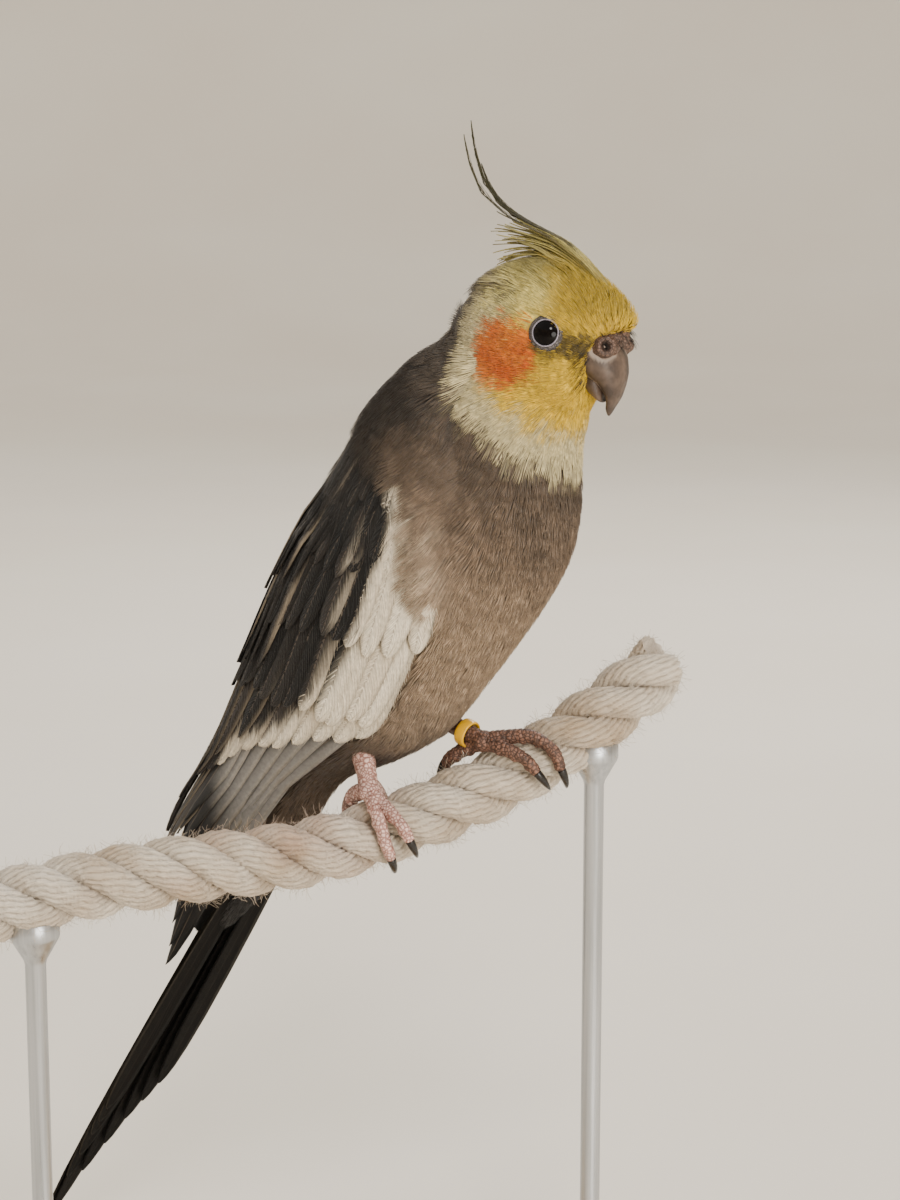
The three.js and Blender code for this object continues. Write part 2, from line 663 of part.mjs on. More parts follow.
function foot(name, grow = 0) {
  const data = FEET[name];
  const pad = new THREE.SphereGeometry(PAD_RADIUS + grow, 10, 7);
  const { x, y, z } = hub(data);
  pad.translate(x, y, z);
  return joined([solid(pad), ...data.toes.map((path) => toe(data, path, grow))]);
}

function shank(side, grow = 0) {
  const data = FEET[side > 0 ? "left" : "right"];
  const places = [new Vector3(...data.ankle), new Vector3(...data.heel), hub(data)];
  places[0].addScaledVector(places[0].clone().sub(places[1]).normalize(), grow);
  return limb(places, SHANK_TAPER.map((r) => r + grow), 10, 5);
}

function leg(name) {
  const side = name === "left" ? 1 : -1;
  return shank(side).subtract(foot(name, CLEAR));
}

function legRing(grow = 0) {
  const inner = RING.inner - grow;
  const outer = RING.outer + grow;
  const half = RING.width / 2 + grow;
  const profile = [[inner, -half], [inner + 0.3, -half], [outer, 0.5 - half], [outer, half - 0.5],
    [inner + 0.3, half], [inner, half], [inner, -half]].map(([r, h]) => new Vector2(r, h));
  const band = new THREE.LatheGeometry(profile, 18);
  const heel = new Vector3(...FEET.left.heel);
  const end = hub(FEET.left);
  const axis = end.clone().sub(heel).normalize();
  band.applyQuaternion(new THREE.Quaternion().setFromUnitVectors(new Vector3(0, 1, 0), axis));
  const place = heel.clone().lerp(end, RING.along);
  place.z -= RING.inner - SHANK_RADIUS - GAP;
  band.translate(place.x, place.y, place.z);
  return solid(band);
}

// Stand
function base() {
  const [a, b, r] = [BASE_LENGTH / 2 - BASE_EDGE, BASE_WIDTH / 2 - BASE_EDGE, BASE_CORNER];
  const outline = new THREE.Shape();
  outline.absarc(a - r, b - r, r, 0, Math.PI / 2, false);
  outline.absarc(r - a, b - r, r, Math.PI / 2, Math.PI, false);
  outline.absarc(r - a, r - b, r, Math.PI, Math.PI * 1.5, false);
  outline.absarc(a - r, r - b, r, Math.PI * 1.5, Math.PI * 2, false);
  const slabShape = new THREE.ExtrudeGeometry(outline, {
    depth: BASE_THICK - BASE_EDGE * 2, bevelThickness: BASE_EDGE, bevelSize: BASE_EDGE,
    bevelSegments: 1, curveSegments: 4,
  });
  slabShape.translate(0, 0, BASE_EDGE);
  slabShape.rotateZ(ROPE_HEADING);
  return solid(slabShape);
}

function rod(s) {
  const { middle } = ropeSite(s);
  const bottom = BASE_THICK + GAP - LIFT;
  const top = middle.z - ROPE_RADIUS * 0.45 - bottom;
  const profile = [
    [0, 0], [ROD_FOOT_RADIUS, 0], [ROD_FOOT_RADIUS, ROD_FOOT_THICK - 0.8],
    [ROD_FOOT_RADIUS - 1.2, ROD_FOOT_THICK], [ROD_RADIUS, ROD_FOOT_THICK], [ROD_RADIUS, top - 11],
    [ROD_CUP_RADIUS, top - 4.5], [ROD_CUP_RADIUS, top], [0, top],
  ].map(([r, h]) => new Vector2(r, h));
  const post = new THREE.LatheGeometry(profile, 16);
  post.rotateX(Math.PI / 2);
  post.translate(middle.x, middle.y, bottom);
  return solid(post).subtract(rope(CLEAR));
}

// The trunk and head are one form, parted by thin cuts
const trunkWhole = joined([trunk.shape(TRUNK_STEPS, BODY_SIDES), thigh(-1), thigh(1)]);
const body = trunkWhole.add(skull.shape(SKULL_STEPS, BODY_SIDES));

function slice(headCut, tailCut) {
  const lower = headCut ? body.subtract(beyond(headCut, true, GAP)) : body;
  return tailCut ? lower.subtract(beyond(tailCut, false)) : lower;
}

function head() {
  const crest = CREST_LENGTHS.map(crestFeather);
  const bills = [upperBill(BILL_CLEAR), bill(LOWER_BILL, LOWER_TIP, BILL_CLEAR)];
  const whole = joined([slice(null, NECK_CUT), lids(-1), lids(1), ...crest]);
  return [...bills, eyeBall(-1, GAP), eyeBall(1, GAP)].reduce((shape, hole) => shape.subtract(hole), whole);
}

function torso() {
  return [-1, 1].reduce((shape, side) => shape.subtract(shank(side, CLEAR)), slice(CHEST_CUT, TAIL_CUT));
}

function tail() {
  const feathers = TAIL_REACH.flatMap((_, pair) => [-1, 1].map((side) => tailFeather(pair, side)));
  return joined([slice(TAIL_CUT, null), ...feathers]);
}

const bird = new THREE.Group();
bird.position.set(BIRD_X, BIRD_Y, LIFT);

bird.add(named("head", head(), "yellow_face"));
bird.add(named("neck", slice(NECK_CUT, CHEST_CUT), "grey_plumage"));
bird.add(named("torso", torso(), "grey_plumage"));
bird.add(named("tail", tail(), "tail_plumage"));
bird.add(named("bill_upper", upperBill(), "bill"));
bird.add(named("bill_lower", bill(LOWER_BILL, LOWER_TIP), "bill"));
for (const [name, side] of [["right", -1], ["left", 1]]) {
  bird.add(named(`wing_${name}`, wing(side), "wing_plumage"));
  bird.add(named(`eye_${name}`, eyeBall(side), "eye"));
  bird.add(named(`leg_${name}`, leg(name), "foot_skin"));
  bird.add(named(`foot_${name}`, foot(name).subtract(legRing(CLEAR)), "foot_skin"));
  FEET[name].toes.forEach((path, n) => {
    bird.add(named(`claw_${name}_${n + 1}`, claw(path), "claw"));
  });
}
bird.add(named("leg_ring", legRing(), "ring_plastic"));

const stand = new THREE.Group();
stand.position.set(BIRD_X, BIRD_Y, LIFT);
stand.add(named("perch_rope", rope(), "rope"));
for (const [name, s] of Object.entries(ROD_ALONG)) stand.add(named(name, rod(s), "steel"));

const part = new THREE.Group();
part.add(bird, stand, named("stand_base", base(), "pale_wood"));
export default part;
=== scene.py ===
"""A life-size cockatiel on a cut length of rope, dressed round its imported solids."""
import math

import bpy
import numpy as np
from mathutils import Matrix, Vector
from mathutils.bvhtree import BVHTree
from mathutils.kdtree import KDTree


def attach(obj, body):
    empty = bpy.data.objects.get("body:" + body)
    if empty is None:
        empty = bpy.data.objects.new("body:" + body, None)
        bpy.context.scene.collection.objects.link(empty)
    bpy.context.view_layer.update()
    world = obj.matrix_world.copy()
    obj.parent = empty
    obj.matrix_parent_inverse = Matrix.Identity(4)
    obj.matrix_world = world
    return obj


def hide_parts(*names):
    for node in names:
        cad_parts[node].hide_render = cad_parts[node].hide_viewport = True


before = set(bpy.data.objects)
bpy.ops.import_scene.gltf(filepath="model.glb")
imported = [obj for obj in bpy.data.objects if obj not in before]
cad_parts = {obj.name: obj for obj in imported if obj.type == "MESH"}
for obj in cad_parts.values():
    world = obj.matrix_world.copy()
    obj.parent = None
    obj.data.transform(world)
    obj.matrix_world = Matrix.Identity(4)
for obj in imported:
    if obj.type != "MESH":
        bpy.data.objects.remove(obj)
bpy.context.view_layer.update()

# The bird's own frame in the part's, in millimetres, and the size of a millimetre
BIRD_PLACE = np.array([32.0, 13.0, 210.0])
MM = 0.001

# Trunk: back x, back z, belly x, belly z, half width at each station, neck to rump
TRUNK = [
    [8.5, 72, 36.5, 51, 12.5], [3.9, 65.2, 37.6, 46, 15.5], [-0.8, 59.9, 35.4, 39.6, 18],
    [-7.7, 53.7, 34.6, 31.2, 21], [-15.5, 45.6, 33.9, 22.5, 24], [-23.4, 33.6, 31.2, 11, 26],
    [-30.9, 21.4, 23.1, -2.8, 26.5], [-39, 7.7, 10.7, -19.4, 25.5],
    [-46.4, -6, -2, -34.8, 22.5], [-53.3, -19.8, -16.4, -43.6, 18.5],
    [-60.9, -35.1, -28.9, -48.5, 15], [-67.3, -47.5, -37.4, -56.6, 13],
]
# Under tail coverts, the trunk's last stations, and where the folded wings go on past the trunk
COVERTS = [
    [-70.4, -54.1, -44.7, -69.6, 11.5], [-70.6, -68, -52.6, -78.8, 11],
    [-72.4, -80.9, -60.8, -87.8, 11.5], [-76, -93.8, -70, -97.3, 11.5],
]
CLOAK_END = [
    [-75.5, -59.5, -46, -72, 14], [-83, -73, -56, -88, 13.4], [-88.5, -91, -66, -103, 11.8],
    [-93.5, -106, -76, -114, 10], [-100.5, -122, -86, -128, 8.2],
]
# Skull, from the nape to the forehead, in the trunk's order of sizes
SKULL = [
    [4.6, 68.4, 4.6, 63.6, 3.4], [6.6, 75, 6.2, 56.5, 9], [12.5, 80.6, 12, 51, 12.7],
    [20.5, 83.8, 20, 48.4, 14.5], [29, 84.5, 28.5, 47.2, 14.9], [37, 82.6, 35.8, 47.6, 13.7],
    [43, 79.2, 38.7, 53.5, 9.8], [47.4, 75.2, 42.6, 64.5, 7.2], [50, 72.2, 47.6, 68.6, 3.8],
]
# Thigh under the feathers, as it is on the left
THIGH = {"middle": (-16, 8, -26.5), "radii": (15, 9.5, 11), "lean": math.radians(42)}

# Bill: ridge x, ridge z, edge x, edge z, half width
UPPER_BILL = [
    [38.5, 71, 33.5, 62.6, 6.8], [43.4, 69.2, 36.4, 59.8, 7.6], [46.6, 64.8, 39.2, 57.4, 7],
    [47.8, 59.4, 41.8, 55.6, 5.3], [46.8, 54, 43.2, 53, 3.2], [45, 50.6, 43, 50.4, 1.7],
]
UPPER_TIP = (43.6, 48.6)
LOWER_BILL = [
    [40.2, 61.4, 38.6, 54.2, 4.4], [42.0, 60, 40.6, 52.6, 4.6],
    [42.6, 57.8, 42.0, 51.8, 4.0], [43.0, 55, 42.6, 52.2, 2.6],
]
LOWER_TIP = (42.4, 52.4)

# Cere: the swelling round each nostril, and the nostril on it, both as they are on the left
CERE_MIDDLE = np.array([43.8, 4.2, 65.3])
CERE_RADIUS = 3.2
NOSTRIL = np.array([45.9, 6.3, 65.9])

# Eyes sit at this station of the skull, at this height
EYE_STATION = 4.62
EYE_HEIGHT = 69.0
EYE_SINK = 3.3
EYE_RADIUS = 4.4

# Coat: how deep the feathers lie over the skin, on the body and on the face
COAT_DEPTH = 1.3
FACE_DEPTH = 0.7
SKIN_VOXEL = 0.00085
SKIN_SMOOTHING = 14
# The skin takes the coat's colours darkened by this share: painted shade under the feathers
SKIN_PAINTED_SHADE = 0.8

# Side of the patch that each tuft or feather has on the coat's map
PATCH = 0.003


# Colours, each written as a painter would mix it, turned to linear light
def tint(code):
    parts = [int(code[i:i + 2], 16) / 255 for i in (1, 3, 5)]
    return np.array([c / 12.92 if c <= 0.04045 else ((c + 0.055) / 1.055) ** 2.4 for c in parts])


YELLOW = tint("#d6b12a")
PALE_YELLOW = tint("#e2d27c")
OLIVE = tint("#7a7040")
CREAM = tint("#c8ba8e")
FOREHEAD = tint("#8a7420")
ORANGE = tint("#c65a0c")
ORANGE_PALE = tint("#d07a1e")
NAPE_GREY = tint("#453c33")
MANTLE = tint("#2e2720")
BREAST = tint("#776452")
# The belly's colour, made lighter with painted light where the belly faces down
BELLY_PAINTED_LIGHT = tint("#a08a72")
# The vent's colour, darkened with painted shade beneath the body
VENT_PAINTED_SHADE = tint("#54473b")
LORE = tint("#4c3f1c")
CROWN_DARK = tint("#4f4537")
WING_DARK = tint("#0b0907")
WING_GREY = tint("#2e2823")
WING_WHITE = tint("#dfd3bd")
WING_SHADE = tint("#bfae95")
PRIMARY = tint("#76736f")
PALE_EDGE = tint("#a39a8c")
TAIL_DARK = tint("#050404")
TAIL_GREY = tint("#161311")
CREST_TIP = tint("#3a3620")
BRISTLE = tint("#1d1812")
WORN_HORN = tint("#9c8b7c")
NOSTRIL_SHADOW = tint("#0c0806")


# Small mathematics
def smooth(low, high, x):
    t = np.clip((np.asarray(x, float) - low) / (high - low), 0, 1)
    return t * t * (3 - 2 * t)


def mixed(a, b, t):
    t = np.asarray(t, float)[..., None]
    return a * (1 - t) + b * t


def unit(v):
    return v / np.maximum(np.linalg.norm(v, axis=-1, keepdims=True), 1e-9)


def one_side(points):
    """The same places, with those of the right side mirrored to the left."""
    return points * np.array([1, 0, 1]) + np.abs(points) * np.array([0, 1, 0])


def grid(*axes):
    return np.meshgrid(*axes, indexing="ij")


def turns(count):
    """Angles at equal steps round a whole turn."""
    return np.linspace(0, 2 * math.pi, count, endpoint=False)


def looked_up(table, x):
    """Values at x from a table of pairs."""
    table = np.asarray(table, float)
    return np.interp(x, table[:, 0], table[:, 1])


def place_tree(points):
    tree = KDTree(len(points))
    for n, p in enumerate(points):
        tree.insert(p, n)
    tree.balance()
    return tree


def gaps_to(tree, points):
    return np.array([tree.find(p)[2] for p in points])


def ripple(points, scale, seed):
    """A smooth, repeatable unevenness from -1 to 1 over points, its bumps about scale wide."""
    rng = np.random.default_rng(seed)
    total = np.zeros(len(points))
    for _ in range(7):
        way = unit(rng.normal(size=3)) * 2 * math.pi / (scale * rng.uniform(0.7, 2.2))
        total += np.sin(points @ way + rng.uniform(0, 2 * math.pi))
    return np.clip(total / 3.2, -1, 1)


class Form:
    """A body form, smooth along its stations and oval round them; angle 0 is the back."""

    def __init__(self, table):
        self.table = np.array(table, float)
        self.last = len(table) - 1

    def sizes(self, station):
        s = np.asarray(station, float)
        i = np.clip(np.floor(s).astype(int), 0, self.last - 1)
        f = (s - i)[..., None]
        p, q, r, w = (self.table[np.clip(i + k, 0, self.last)] for k in (-1, 0, 1, 2))
        return 0.5 * (2 * q + (r - p) * f + (2 * p - 5 * q + 4 * r - w) * f ** 2
                      + (3 * q - p - 3 * r + w) * f ** 3)

    def point(self, station, angle, side=-1, grow=0.0):
        dx, dz, vx, vz, wide = np.moveaxis(self.sizes(station), -1, 0)
        hx, hz = (dx - vx) / 2, (dz - vz) / 2
        k = (np.hypot(hx, hz) + grow) / np.hypot(hx, hz)
        c = np.cos(angle)
        return np.stack([(dx + vx) / 2 + hx * k * c, side * (wide + grow) * np.sin(angle),
                         (dz + vz) / 2 + hz * k * c], -1)

    def axes(self, station, angle, side=-1):
        """Change of place along the stations and round them, and the outward normal."""
        e = 1e-3
        along = (self.point(station + e, angle, side) - self.point(station - e, angle, side)) / (2 * e)
        around = (self.point(station, angle + e, side) - self.point(station, angle - e, side)) / (2 * e)
        normal = unit(np.cross(around, along)) * -side
        dx, dz, vx, vz, _ = np.moveaxis(self.sizes(station), -1, 0)
        middle = np.stack([(dx + vx) / 2, np.zeros_like(dx), (dz + vz) / 2], -1)
        out = np.sum(normal * (self.point(station, angle, side) - middle), -1, keepdims=True)
        return along, around, np.where(out < 0, -normal, normal)

    def raised(self, station, angle, rise, side=-1):
        return self.point(station, angle, side) + self.axes(station, angle, side)[2] * rise[..., None]

    def spread(self, rows, columns):
        """Stations and angles all over the form, with both ends of the turn."""
        return grid(np.linspace(0, self.last, rows), np.linspace(0, 2 * math.pi, columns))

    def rings(self, rows, columns, grow=0.0):
        s, a = grid(np.linspace(0, self.last, rows), turns(columns))
        return self.point(s, a, -1, grow)


trunk = Form(TRUNK + COVERTS)
cloak = Form(TRUNK + CLOAK_END)
skull = Form(SKULL)


# Meshes from arrays
def lofts(rings):
    """Closed shapes skinned over their rings, as points, four-sided faces and three-sided ends."""
    rings = rings[None] if rings.ndim == 3 else rings
    f, s, k = rings.shape[:3]
    base = (np.arange(f) * s * k)[:, None, None]
    i, j = grid(np.arange(s - 1), np.arange(k))
    n = (j + 1) % k
    quads = np.stack([i * k + j, i * k + n, (i + 1) * k + n, (i + 1) * k + j], -1).reshape(1, -1, 4)
    fan = np.array([[0, m + 1, m] for m in range(1, k - 1)])
    back = fan[:, [0, 2, 1]] + (s - 1) * k
    tris = np.concatenate([fan, back]).reshape(1, -1, 3)
    quads, tris = (quads + base).reshape(-1, 4), (tris + base).reshape(-1, 3)
    points = rings.reshape(-1, 3)
    a, b, c, d = (points[quads[: (s - 1) * k, n]] for n in range(4))
    volume = np.sum(a * np.cross(b, c)) + np.sum(a * np.cross(c, d))
    if volume < 0:
        quads, tris = quads[:, ::-1], tris[:, ::-1]
    return points, quads, tris


def gathered(parts):
    """Several lots of points and faces as one."""
    points, quads, tris, start = [], [], [], 0
    for p, q, t in parts:
        points.append(p)
        quads.append(q + start)
        tris.append(t + start)
        start += len(p)
    return np.concatenate(points), np.concatenate(quads), np.concatenate(tris)


NO_TRIS = np.zeros((0, 3), int)


def closed_band(around, across):
    """Faces of a band that closes both round itself and along its length, as a ring does."""
    i, j = grid(np.arange(around), np.arange(across))
    m, n = (i + 1) % around, (j + 1) % across
    corners = [i * across + j, m * across + j, m * across + n, i * across + n]
    return np.stack(corners, -1).reshape(-1, 4)


def linked(obj):
    bpy.context.scene.collection.objects.link(obj)
    return obj


def new_object(name, shape, material=None, on_bird=True):
    """An object of this shape, whose places are the bird's millimetres or the part's metres."""
    points, quads, tris = shape
    mesh = bpy.data.meshes.new(name)
    points = (points + BIRD_PLACE) * MM if on_bird else points
    mesh.vertices.add(len(points))
    mesh.vertices.foreach_set("co", points.astype(np.float32).ravel())
    corners = np.concatenate([quads.ravel(), tris.ravel()]).astype(np.int32)
    mesh.loops.add(len(corners))
    mesh.loops.foreach_set("vertex_index", corners)
    starts = np.concatenate([np.arange(len(quads)) * 4, len(quads) * 4 + np.arange(len(tris)) * 3])
    mesh.polygons.add(len(starts))
    mesh.polygons.foreach_set("loop_start", starts.astype(np.int32))
    mesh.update(calc_edges=True)
    mesh.polygons.foreach_set("use_smooth", np.ones(len(starts), bool))
    if material:
        mesh.materials.append(material)
    return linked(bpy.data.objects.new(name, mesh))


def paint(obj, name, colours):
    rgba = np.ones((len(colours), 4), np.float32)
    rgba[:, :3] = colours
    layer = obj.data.color_attributes.new(name, "FLOAT_COLOR", "POINT")
    layer.data.foreach_set("color", rgba.ravel())


def note(obj, name, values):
    layer = obj.data.attributes.new(name, "FLOAT", "POINT")
    layer.data.foreach_set("value", np.asarray(values, np.float32).ravel())


def lay_map(obj, name, places):
    """A UV map from one place for each point."""
    corners = np.zeros(len(obj.data.loops), np.int32)
    obj.data.loops.foreach_get("vertex_index", corners)
    layer = obj.data.uv_layers.new(name=name)
    layer.data.foreach_set("uv", places[corners].astype(np.float32).ravel())


def make_plain(obj):
    """Keeps the mesh that an object's modifiers make as its own plain mesh."""
    bpy.context.view_layer.update()
    result = obj.evaluated_get(bpy.context.evaluated_depsgraph_get())
    mesh = bpy.data.meshes.new_from_object(result)
    obj.modifiers.clear()
    old = obj.data
    obj.data = mesh
    bpy.data.meshes.remove(old)
    mesh.name = obj.name


def finished(obj, slot, *nodes):
    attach(obj, "root")
    if nodes:
        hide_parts(*nodes)


# Node trees
class Nodes:
    """A node tree, with short words for its nodes."""

    def node(self, kind, settings=None, **inputs):
        """A node with links or numbers on its inputs, named by their label or by i and their number."""
        made = self.tree.nodes.new(kind if "Node" in kind else "ShaderNode" + kind)
        for key, value in (settings or {}).items():
            setattr(made, key, value)
        for key, value in inputs.items():
            by_number = key[0] == "i" and key[1:].isdigit()
            self.give(made.inputs[int(key[1:]) if by_number else key.replace("_", " ")], value)
        return made

    def give(self, socket, value):
        if isinstance(value, bpy.types.NodeSocket):
            self.tree.links.new(value, socket)
        else:
            socket.default_value = value

    def sum(self, operation, a, b=0.0):
        return self.node("Math", {"operation": operation}, i0=a, i1=b).outputs[0]


class Finish(Nodes):
    """A material of one shader, whose colour, roughness and bump come from procedural nodes."""

    def __init__(self, name, colour, roughness, sockets=None):
        self.material = bpy.data.materials.new(name)
        self.material.use_nodes = True
        self.tree = self.material.node_tree
        self.shader = self.tree.nodes["Principled BSDF"]
        self.shader.inputs["Base Color"].default_value = (*colour, 1)
        self.shader.inputs["Roughness"].default_value = roughness
        for key, value in (sockets or {}).items():
            self.shader.inputs[key].default_value = value

    def noise(self, scale, detail=3.0, stretch=(1, 1, 1)):
        place = self.node("TexCoord").outputs["Object"]
        moved = self.node("Mapping", Vector=place, Scale=stretch).outputs[0]
        return self.node("TexNoise", Vector=moved, Scale=scale, Detail=detail).outputs["Fac"]

    def cells(self, scale):
        place = self.node("TexCoord").outputs["Object"]
        edges = {"feature": "DISTANCE_TO_EDGE"}
        return self.node("TexVoronoi", edges, Vector=place, Scale=scale).outputs["Distance"]

    def mark(self, name, output="Fac"):
        return self.node("Attribute", {"attribute_name": name}).outputs[output]

    def multiplied(self, a, b):
        return self.blend(1.0, a, b, "MULTIPLY")

    def fleck(self, scale, detail, low, high):
        """The feathers' own painted colour, broken up by fine noise."""
        noise = self.span(self.noise(scale, detail), 0.3, 0.7, low, high)
        return self.multiplied(self.mark("plumage", "Color"), noise)

    def span(self, value, low, high, to_low=0.0, to_high=1.0):
        """The value, stretched from low and high to two other numbers."""
        made = self.node("MapRange", i0=value)
        ends = {"From Min": low, "From Max": high, "To Min": to_low, "To Max": to_high}
        for key, number in ends.items():
            made.inputs[key].default_value = number
        return made.outputs[0]

    def blend(self, share, a, b, way="MIX"):
        """Two colours mixed by a share, each of them a link or a fixed colour."""
        made = self.node("Mix", {"data_type": "RGBA", "blend_type": way})
        for place, value in ((0, share), (6, a), (7, b)):
            fixed = isinstance(value, (tuple, np.ndarray))
            self.give(made.inputs[place], (*value, 1) if fixed else value)
        return made.outputs[2]

    def colour(self, socket):
        self.tree.links.new(socket, self.shader.inputs["Base Color"])

    def rough(self, socket):
        self.tree.links.new(socket, self.shader.inputs["Roughness"])

    def bump(self, height, strength, distance):
        made = self.node("Bump", Height=height, Strength=strength, Distance=distance)
        self.tree.links.new(made.outputs[0], self.shader.inputs["Normal"])


def plumage_finish(name, roughness, barbs, sheen, quill="#6b5f52", gloss=0.2):
    """Feathers: painted by their own points, with fine barbs and a shaft where they carry them."""
    made = Finish(name, (0.4, 0.35, 0.3), roughness,
                  {"Sheen Weight": sheen, "Sheen Roughness": 0.5, "Specular IOR Level": gloss})
    shade = made.fleck(900, 4, 0.82, 1.14)
    if barbs:
        wave = made.sum("SINE", made.sum("MULTIPLY", made.mark("barb"), barbs))
        lines = made.span(wave, -1, 1, 0.86, 1.06)
        shade = made.multiplied(shade, lines)
        shaft = made.span(made.mark("shaft"), 0.03, 0.09, 0.45, 0.0)
        shade = made.blend(shaft, shade, tint(quill))
        made.bump(wave, 0.25, 0.0001)
    else:
        made.bump(made.noise(1600, 3), 0.4, 0.0002)
    made.colour(shade)
    return made.material


coat_finish = plumage_finish("soft_plumage", 0.85, None, 0.12)
vane_finish = plumage_finish("wing_vanes", 0.7, 11.0, 0.08)
tail_finish = plumage_finish("tail_vanes", 0.8, 9.0, 0.0, "#1f1b18", 0.08)


def skin_finish():
    made = Finish("downy_skin", (0.3, 0.25, 0.2), 0.9)
    # The noise darkens the skin's colours further, as painted shade between the feathers
    made.colour(made.fleck(700, 5, 0.6, 0.95))
    made.bump(made.noise(1200, 4), 0.6, 0.0004)
    return made.material


def horn_finish(name, dark, pale, roughness):
    made = Finish(name, dark, roughness, {"Coat Weight": 0.02, "Coat Roughness": 0.4})
    cloud = made.span(made.noise(260, 4), 0.35, 0.65)
    streak = made.span(made.noise(420, 3, (1, 1, 0.22)), 0.4, 0.62)
    shade = made.blend(cloud, dark, pale)
    shade = made.blend(made.sum("MULTIPLY", streak, 0.35), shade, dark * 0.5)
    shade = made.blend(made.sum("MULTIPLY", made.mark("edge"), 0.7), shade, WORN_HORN)
    made.colour(shade)
    made.rough(made.span(made.noise(900, 3), 0.3, 0.7, roughness - 0.08, roughness + 0.14))
    made.bump(made.noise(700, 5, (1, 1, 0.35)), 0.35, 0.0002)
    return made.material


def hide_finish(name, base, crease, scale, depth):
    """Bare scaly skin: small cells with darker creases."""
    made = Finish(name, base, 0.55)
    edge = made.span(made.cells(scale), 0.02, 0.22)
    cloud = made.span(made.noise(230, 3), 0.35, 0.65, 0.75, 1.2)
    shade = made.multiplied(made.blend(edge, crease, base), cloud)
    # A point attribute paints the nostril's hollow near black: painted shadow
    made.colour(made.blend(made.mark("nostril_shadow"), shade, NOSTRIL_SHADOW))
    made.rough(made.span(made.noise(800, 2), 0.3, 0.7, 0.45, 0.7))
    made.bump(edge, 0.7, depth)
    return made.material


def eye_finish():
    made = Finish("wet_eye", (0.002, 0.001, 0.001), 0.03, {"Specular IOR Level": 0.12})
    cloud = made.span(made.noise(300, 2), 0.3, 0.7)
    made.colour(made.blend(cloud, tint("#040202"), tint("#090504")))
    return made.material


def band_finish():
    made = Finish("yellow_band", tint("#e0a80e"), 0.35, {"Coat Weight": 0.3, "Coat Roughness": 0.3})
    scuff = made.span(made.noise(600, 5), 0.55, 0.72)
    made.colour(made.blend(made.sum("MULTIPLY", scuff, 0.5), tint("#e2ab10"), tint("#a87c10")))
    made.rough(made.span(scuff, 0, 1, 0.3, 0.55))
    made.bump(made.noise(1500, 3), 0.15, 0.0001)
    return made.material


def cotton_finish():
    made = Finish("twisted_cotton", tint("#d9c9af"), 0.92,
                  {"Sheen Weight": 0.3, "Sheen Roughness": 0.5})
    cloud = made.span(made.noise(45, 4), 0.35, 0.65)
    shade = made.blend(cloud, tint("#e2d6c4"), tint("#bba486"))
    stain = made.span(made.noise(22, 3), 0.5, 0.68, 0, 0.6)
    shade = made.blend(stain, shade, tint("#bd9580"))
    # Painted shade in the grooves between the yarns
    groove = made.span(made.mark("yarn"), 0.0, 0.7, 0.55, 0.0)
    shade = made.blend(groove, shade, tint("#725a40"))
    along = made.mark("fibre", "Vector")
    fibres = made.node("TexNoise", Vector=along, Scale=26.0, Detail=5.0).outputs["Fac"]
    made.colour(made.multiplied(shade, made.span(fibres, 0.3, 0.7, 0.68, 1.12)))
    made.bump(made.sum("ADD", fibres, made.noise(2600, 4)), 0.7, 0.0005)
    return made.material


def steel_finish():
    made = Finish("satin_steel", tint("#b9bcc0"), 0.32, {"Metallic": 1.0})
    brush = made.span(made.noise(900, 3, (1, 1, 0.02)), 0.3, 0.7)
    made.colour(made.blend(brush, tint("#a9acb0"), tint("#c6c8cb")))
    made.rough(made.span(brush, 0, 1, 0.26, 0.42))
    made.bump(brush, 0.06, 0.0001)
    return made.material


def wood_finish():
    made = Finish("pale_wood", tint("#cdb28a"), 0.5)
    place = made.node("TexCoord").outputs["Object"]
    turned = made.node("Mapping", Vector=place, Rotation=(0, 0, -math.pi / 4),
                       Scale=(1, 9, 9)).outputs[0]
    grain = made.node("TexNoise", Vector=turned, Scale=14, Detail=6, Distortion=0.4).outputs["Fac"]
    fine = made.node("TexNoise", Vector=turned, Scale=120, Detail=4).outputs["Fac"]
    shade = made.blend(made.span(grain, 0.35, 0.65), tint("#d8bf98"), tint("#b08c5e"))
    shade = made.blend(made.span(fine, 0.5, 0.75, 0, 0.4), shade, tint("#8f6d43"))
    made.colour(shade)
    made.rough(made.span(fine, 0.3, 0.7, 0.42, 0.6))
    made.bump(fine, 0.2, 0.0003)
    return made.material


bill_finish = horn_finish("bill_horn", tint("#33261e"), tint("#5f4d40"), 0.52)
claw_finish = horn_finish("claw_horn", tint("#0e0b0a"), tint("#1e1917"), 0.24)
foot_finish = hide_finish("scaly_foot", tint("#dcb8ab"), tint("#8f6054"), 1000, 0.00018)
far_foot_finish = hide_finish("scaly_foot_brown", tint("#7c5847"), tint("#3b281f"), 1000, 0.00018)
cere_finish = hide_finish("cere_skin", tint("#6b5143"), tint("#3d2a20"), 1300, 0.00016)
rim_finish = hide_finish("lid_rim", tint("#a39ca6"), tint("#716a74"), 2400, 0.00008)
lid_finish = hide_finish("lid_skin", tint("#5a5452"), tint("#2a2524"), 1500, 0.00016)
wet_eye = eye_finish()
cotton = cotton_finish()
steel = steel_finish()
wood = wood_finish()


# Where things are on the bird
def eye_site(side):
    _, dz, _, vz, _ = skull.sizes(EYE_STATION)
    angle = math.acos((EYE_HEIGHT - (dz + vz) / 2) / ((dz - vz) / 2))
    surface = skull.point(EYE_STATION, angle, side)
    return surface, skull.axes(np.array(EYE_STATION), np.array(angle), side)[2]


EYES = {side: eye_site(side) for side in (-1, 1)}


